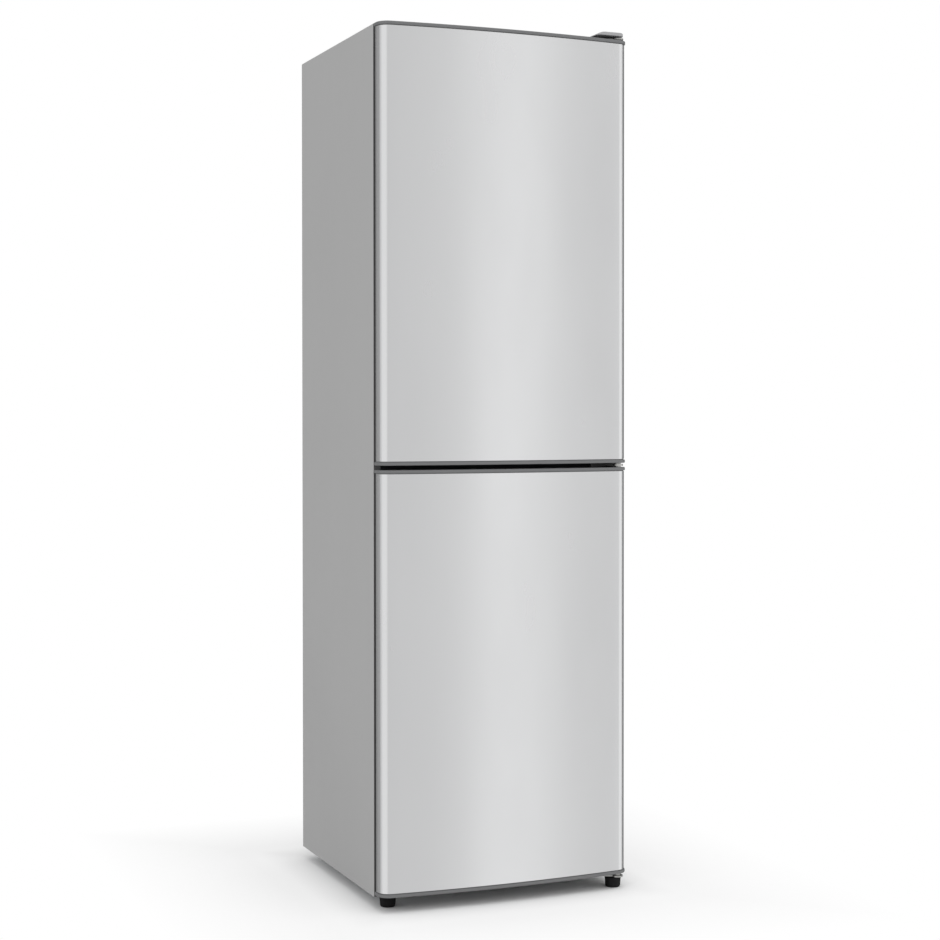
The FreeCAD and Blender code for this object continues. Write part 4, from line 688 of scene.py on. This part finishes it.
def compressor():
    """Drawn steel pot with its welded seam and rounded ends, on a plate with four mount holes."""
    section = arc(POT_FLAT, POT_BULGE, POT_BULGE, -90, 0, steps=10)
    section += [(POT_RADIUS + proud, height) for proud, height in SEAM]
    section += arc(POT_FLAT, POT_HEIGHT - POT_BULGE, POT_BULGE, 0, 90, steps=10)
    section = [(radius, POT_BASE + height) for radius, height in section]
    pot = revolved(POT_X, POT_Y, section, sides=72)
    middle = POT_BASE + BOSS_HEIGHT
    boss = stack([(rounded(POT_Y - half, POT_Y + half, middle - half, middle + half,
                           [BOSS_CORNER] * 4, steps=4), POT_X + reach) for half, reach in BOSS])
    rod = [(STUB_RADIUS, POT_X - STUB_REACH), (STUB_RADIUS, POT_X - POT_FLAT)]
    stub = revolved(POT_Y, POT_BASE + STUB_HEIGHT, rod, sides=20)
    piece("visual_compressor", [pot, along_x(boss), along_x(stub)], "cabinet", "compressor_paint",
          "compressor")
    rim = rounded(POT_X - PLATE_HALF_X, POT_X + PLATE_HALF_X, POT_Y - PLATE_HALF_Y,
                  POT_Y + PLATE_HALF_Y, [PLATE_CORNER] * 4)
    top = POT_BASE + PLATE_THICKNESS
    plate = piece("visual_compressor_plate", [stack([(rim, POT_BASE), (rim, top)])], "cabinet",
                  "compressor_paint", "compressor")
    hole = [(MOUNT_HOLE, POT_BASE - PROUD), (MOUNT_HOLE, top + PROUD)]
    cut(plate, *[revolved(POT_X + side * MOUNT_X, POT_Y + end * MOUNT_Y, hole, sides=24)
                 for side in (-1, 1) for end in (-1, 1)])


# Thermostat knob: heights go up from the bar to the housing that the knob hangs under

KNOB_X, KNOB_Y = 0.066, -0.069825
BAR_LOW, RIM_LOW, RIM_TOP = 1.6512, 1.6572, 1.6642
KNOB_FLUTES = 36
# Radius, height and flute depth
KNOB_RIM = [(0.0150, RIM_LOW, 0), (0.0162, RIM_LOW + 0.0004, 0.0003),
            (0.0170, RIM_LOW + 0.0016, 0.0006), (0.0170, RIM_TOP - 0.001, 0.0006),
            (0.0165, RIM_TOP, 0)]
# Half the bar's width, how much it is shorter at each end, and height
KNOB_BAR = [(0.0017, 0.0013, BAR_LOW), (0.0026, 0.0004, BAR_LOW + 0.0008),
            (0.0030, 0, BAR_LOW + 0.002), (0.0030, 0, RIM_LOW + 0.0005)]
BAR_HALF, BAR_ROUND = 0.015, 0.9
SPINDLE_RADIUS, SPINDLE_LOW, SPINDLE_TOP = 0.003, RIM_TOP - 0.0005, RIM_TOP + 0.009


def knob():
    """Fluted thermostat knob with a rounded bar to turn it by."""
    rim = [(fluted(KNOB_X, KNOB_Y, radius, flute, KNOB_FLUTES, steps=4), z)
           for radius, z, flute in KNOB_RIM]
    bar = [(rounded(KNOB_X - half, KNOB_X + half, KNOB_Y - BAR_HALF + inset,
                    KNOB_Y + BAR_HALF - inset, [half * BAR_ROUND] * 4), z)
           for half, inset, z in KNOB_BAR]
    rod = [(SPINDLE_RADIUS, SPINDLE_LOW), (SPINDLE_RADIUS, SPINDLE_TOP)]
    spindle = revolved(KNOB_X, KNOB_Y, rod, sides=20)
    piece("visual_thermostat_knob", [stack(rim), stack(bar), spindle], "thermostat_knob",
          "bush_nylon", "thermostat_knob")


# Condenser: a serpentine in one upright plane, wires on both its sides, and the pipe with its drier

GRID_Y = 0.273675
RUN_HALF, RUN_PITCH, RUN_LOW, RUN_BENDS = 0.176, 0.076, 0.287, 16
BEND_RADIUS = 0.014
TUBE_RADIUS, TUBE_END_Z = 0.0025, 0.235
INLET_X, INLET_Y = 0.17955, 0.254175
WIRES, WIRE_PITCH, WIRE_RADIUS, WIRE_OFFSET = 19, 0.018, 0.0008, 0.00335
WIRE_LOW, WIRE_TOP = 0.271, 1.519
PIPE_RADIUS, PIPE_Z, PIPE_END_X = 0.003, 0.1221, -0.136
# Radius, and distance from the drier's middle
DRIER = [(0.0032, -0.030), (0.0045, -0.0285), (0.0072, -0.024), (0.008, -0.0215), (0.008, 0.0215),
         (0.0072, 0.024), (0.0045, 0.0285), (0.0032, 0.030)]
DRIER_Y = 0.213425


def condenser():
    """Serpentine of round tube with the wires welded across it, and the pipe with its drier."""
    bend, outer = BEND_RADIUS, -RUN_HALF - BEND_RADIUS
    run = [(outer, GRID_Y, TUBE_END_Z)]
    run += [(x, GRID_Y, z) for x, z in arc(-RUN_HALF, RUN_LOW - bend, bend, 180, 90, steps=6)]
    for k in range(RUN_BENDS):
        side = 1 if k % 2 == 0 else -1
        turn = arc(RUN_HALF * side, RUN_LOW + RUN_PITCH * k + RUN_PITCH / 2, RUN_PITCH / 2,
                   -90, 90 if side > 0 else -270, steps=14)
        run += [(x, GRID_Y, z) for x, z in turn]
    top = RUN_LOW + RUN_PITCH * RUN_BENDS
    run += [(x, y, top) for x, y in arc(INLET_X - bend, GRID_Y - bend, bend, 90, 0, steps=6)]
    run.append((INLET_X, INLET_Y, top))
    pipe("visual_condenser_tube", [run], TUBE_RADIUS, "cabinet", "compressor_paint",
         "condenser_tube")

    wires = []
    for k in range(WIRES):
        x = WIRE_PITCH * (k - WIRES // 2)
        y = GRID_Y + (WIRE_OFFSET if k % 2 == 0 else -WIRE_OFFSET)
        wires.append([(x, y, WIRE_LOW), (x, y, WIRE_TOP)])
    pipe("visual_condenser_wires", wires, WIRE_RADIUS, "cabinet", "compressor_paint",
         "condenser_wires")

    run = [(outer, GRID_Y, TUBE_END_Z)]
    run += [(outer, y, z) for y, z in arc(GRID_Y - bend, PIPE_Z + bend, bend, 0, -90, steps=6)]
    run += [(x, y, PIPE_Z) for x, y in arc(outer + bend, POT_Y + bend, bend, 180, 270, steps=6)]
    run.append((PIPE_END_X, POT_Y, PIPE_Z))
    pipe("visual_refrigerant_pipe", [run], PIPE_RADIUS, "cabinet", "copper", "refrigerant_pipe")

    section = [(radius, DRIER_Y + along) for radius, along in DRIER]
    drier = revolved(outer, PIPE_Z, section, sides=32)
    piece("visual_filter_drier", [turned_over(drier, (0, 2, 1))], "cabinet", "copper",
          "refrigerant_pipe")


# Stage and light: white surroundings, tall soft panels, grey screens beside and behind the object

AIM_Z = 0.9
# Azimuth, distance, width, height, height of the centre, radiance
PANELS = {
    "left_panel": (-58, 3.2, 2.9, 6.0, AIM_Z, 0.29),
    "right_panel": (61, 3.4, 1.95, 6.0, AIM_Z, 0.41),
    "strip": (22.5, 4.2, 0.9, 6.0, AIM_Z, 0.45),
    "top": (20, 1.6, 3.0, 3.0, 4.2, 0.7),
}
# First azimuth, last azimuth, strength
SCREENS = {
    "left_screen": (-180, -146, 0.38),
    "left_near_screen": (-146, -103, 0.55),
    "right_screen": (88, 180, 0.3),
}
SCREEN_DISTANCE, SCREEN_HEIGHT, SCREEN_STEPS = 4.5, 6.0, 12
WORLD_LEVEL, WORLD_SEEN = 0.88, 1.0


def around(azimuth, distance):
    """A place round the object. Azimuth 0 is in front of the doors, positive to the right."""
    turn = math.radians(azimuth)
    return math.sin(turn) * distance, -math.cos(turn) * distance


def panel(name, azimuth, distance, width, height, centre_z, radiance):
    """A soft light that faces the object. The one above it shows in no reflection."""
    data = bpy.data.lights.new(name, "AREA")
    data.shape = "RECTANGLE"
    data.size = width
    data.size_y = height
    data.energy = radiance * math.pi * width * height
    lamp = linked(name, data)
    lamp.location = (*around(azimuth, distance), centre_z)
    aim = Vector((0, 0, AIM_Z)) - lamp.location
    lamp.rotation_euler = aim.to_track_quat("-Z", "Y").to_euler()
    lamp.visible_glossy = name != "top"


def screen(name, start, stop, strength):
    """A bent grey screen that only reflections see, as deep below the floor as it is high."""
    points = []
    for k in range(SCREEN_STEPS + 1):
        x, y = around(start + (stop - start) * k / SCREEN_STEPS, SCREEN_DISTANCE)
        points += [(x, y, -SCREEN_HEIGHT), (x, y, SCREEN_HEIGHT)]
    faces = [(2 * k, 2 * k + 2, 2 * k + 3, 2 * k + 1) for k in range(SCREEN_STEPS)]
    glow = Finish(name, Base_Color=grey(0.0), Roughness=1.0, Specular_IOR_Level=0.0,
                  Emission_Color=WHITE, Emission_Strength=strength)
    item = linked(name, plain_mesh(name, points, faces))
    item.data.materials.append(glow.material)
    item.visible_camera = False
    item.visible_diffuse = False
    item.visible_shadow = False
    item.visible_transmission = False


def world():
    """Even light from all round. What the camera, gloss and glass see of it is white."""
    made = bpy.data.worlds.new("surroundings")
    bpy.context.scene.world = made
    made.cycles.sampling_method = "NONE"
    made.use_nodes = True
    made.node_tree.nodes.clear()
    nodes = Nodes(made.node_tree)
    path = nodes.add("ShaderNodeLightPath").outputs
    seen = nodes.combine(path["Is Camera Ray"], path["Is Glossy Ray"], "MAXIMUM")
    seen = nodes.combine(seen, path["Is Transmission Ray"], "MAXIMUM")
    strength = nodes.span(seen, WORLD_LEVEL, WORLD_SEEN)
    glow = nodes.add("ShaderNodeBackground", {"Color": WHITE, "Strength": strength})
    nodes.add("ShaderNodeOutputWorld", {"Surface": glow.outputs["Background"]})


# Floor: its colour is darker under the object, a painted shadow, from SHADE_WIDTH inside its
# footprint.
# A hole under the object is filled by a second piece, because reflections see that one alone.

FLOOR_REACH = 14
FLOOR_PALE, FLOOR_PAINTED_SHADOW = grey(0.93), grey(0.71)
SHADE_HALF_X, SHADE_HALF_Y, SHADE_WIDTH = 0.270, 0.265, 0.06
HOLE_HALF_X, HOLE_HALF_Y = 0.27, 0.25
# Distances from the footprint over which the camera sees the floor turn white, half over each
WHITE_SPANS = [(-0.01, 0.08), (0.12, 0.42)]


def square(half_x, half_y):
    return [(-half_x, -half_y, 0), (half_x, -half_y, 0), (half_x, half_y, 0), (-half_x, half_y, 0)]


def floor():
    """Pale floor that keeps the object's shadow, with a painted shadow under the object, and runs
    out into the white surroundings.
    """
    pale = Finish("floor", Roughness=0.9, Specular_IOR_Level=0.1)
    outside = []
    for letter, half in (("X", SHADE_HALF_X), ("Y", SHADE_HALF_Y)):
        from_middle = pale.combine(pale.axis(letter), 0.0, "ABSOLUTE")
        outside.append(pale.combine(from_middle, half, "SUBTRACT"))
    away = pale.combine(*outside, "MAXIMUM")
    clear = pale.span(away, 0.0, 1.0, start=-SHADE_WIDTH, stop=0.0)
    # Painted shadow: the floor's colour darkens under the object.
    pale.paint(clear, FLOOR_PAINTED_SHADOW, FLOOR_PALE)
    white = pale.combine(*[pale.span(away, 0.0, 0.5, start, stop) for start, stop in WHITE_SPANS])
    seen = pale.add("ShaderNodeLightPath").outputs["Is Camera Ray"]
    share = pale.combine(white, seen, "MULTIPLY")
    glow = pale.add("ShaderNodeEmission", {"Color": WHITE}).outputs["Emission"]
    blend = pale.add("ShaderNodeMixShader", {0: share, 1: pale.shader.outputs["BSDF"], 2: glow})
    pale.feed(pale.tree.nodes["Material Output"].inputs["Surface"], blend.outputs["Shader"])
    outer, inner = square(FLOOR_REACH, FLOOR_REACH), square(HOLE_HALF_X, HOLE_HALF_Y)
    around_hole = [(k, (k + 1) % 4, (k + 1) % 4 + 4, k + 4) for k in range(4)]
    for name, points, faces in (("floor", outer + inner, around_hole),
                                ("floor_below", inner, [(0, 1, 2, 3)])):
        item = linked(name, plain_mesh(name, points, faces))
        item.data.materials.append(pale.material)
        item.visible_glossy = name == "floor_below"


bpy.context.scene.view_settings.view_transform = "Standard"
camera()
world()
floor()
for name, values in PANELS.items():
    panel(name, *values)
for name, values in SCREENS.items():
    screen(name, *values)
dress()
door_skins()
door_caps()
hinge_cover()
feet()
rollers()
compressor()
knob()
condenser()
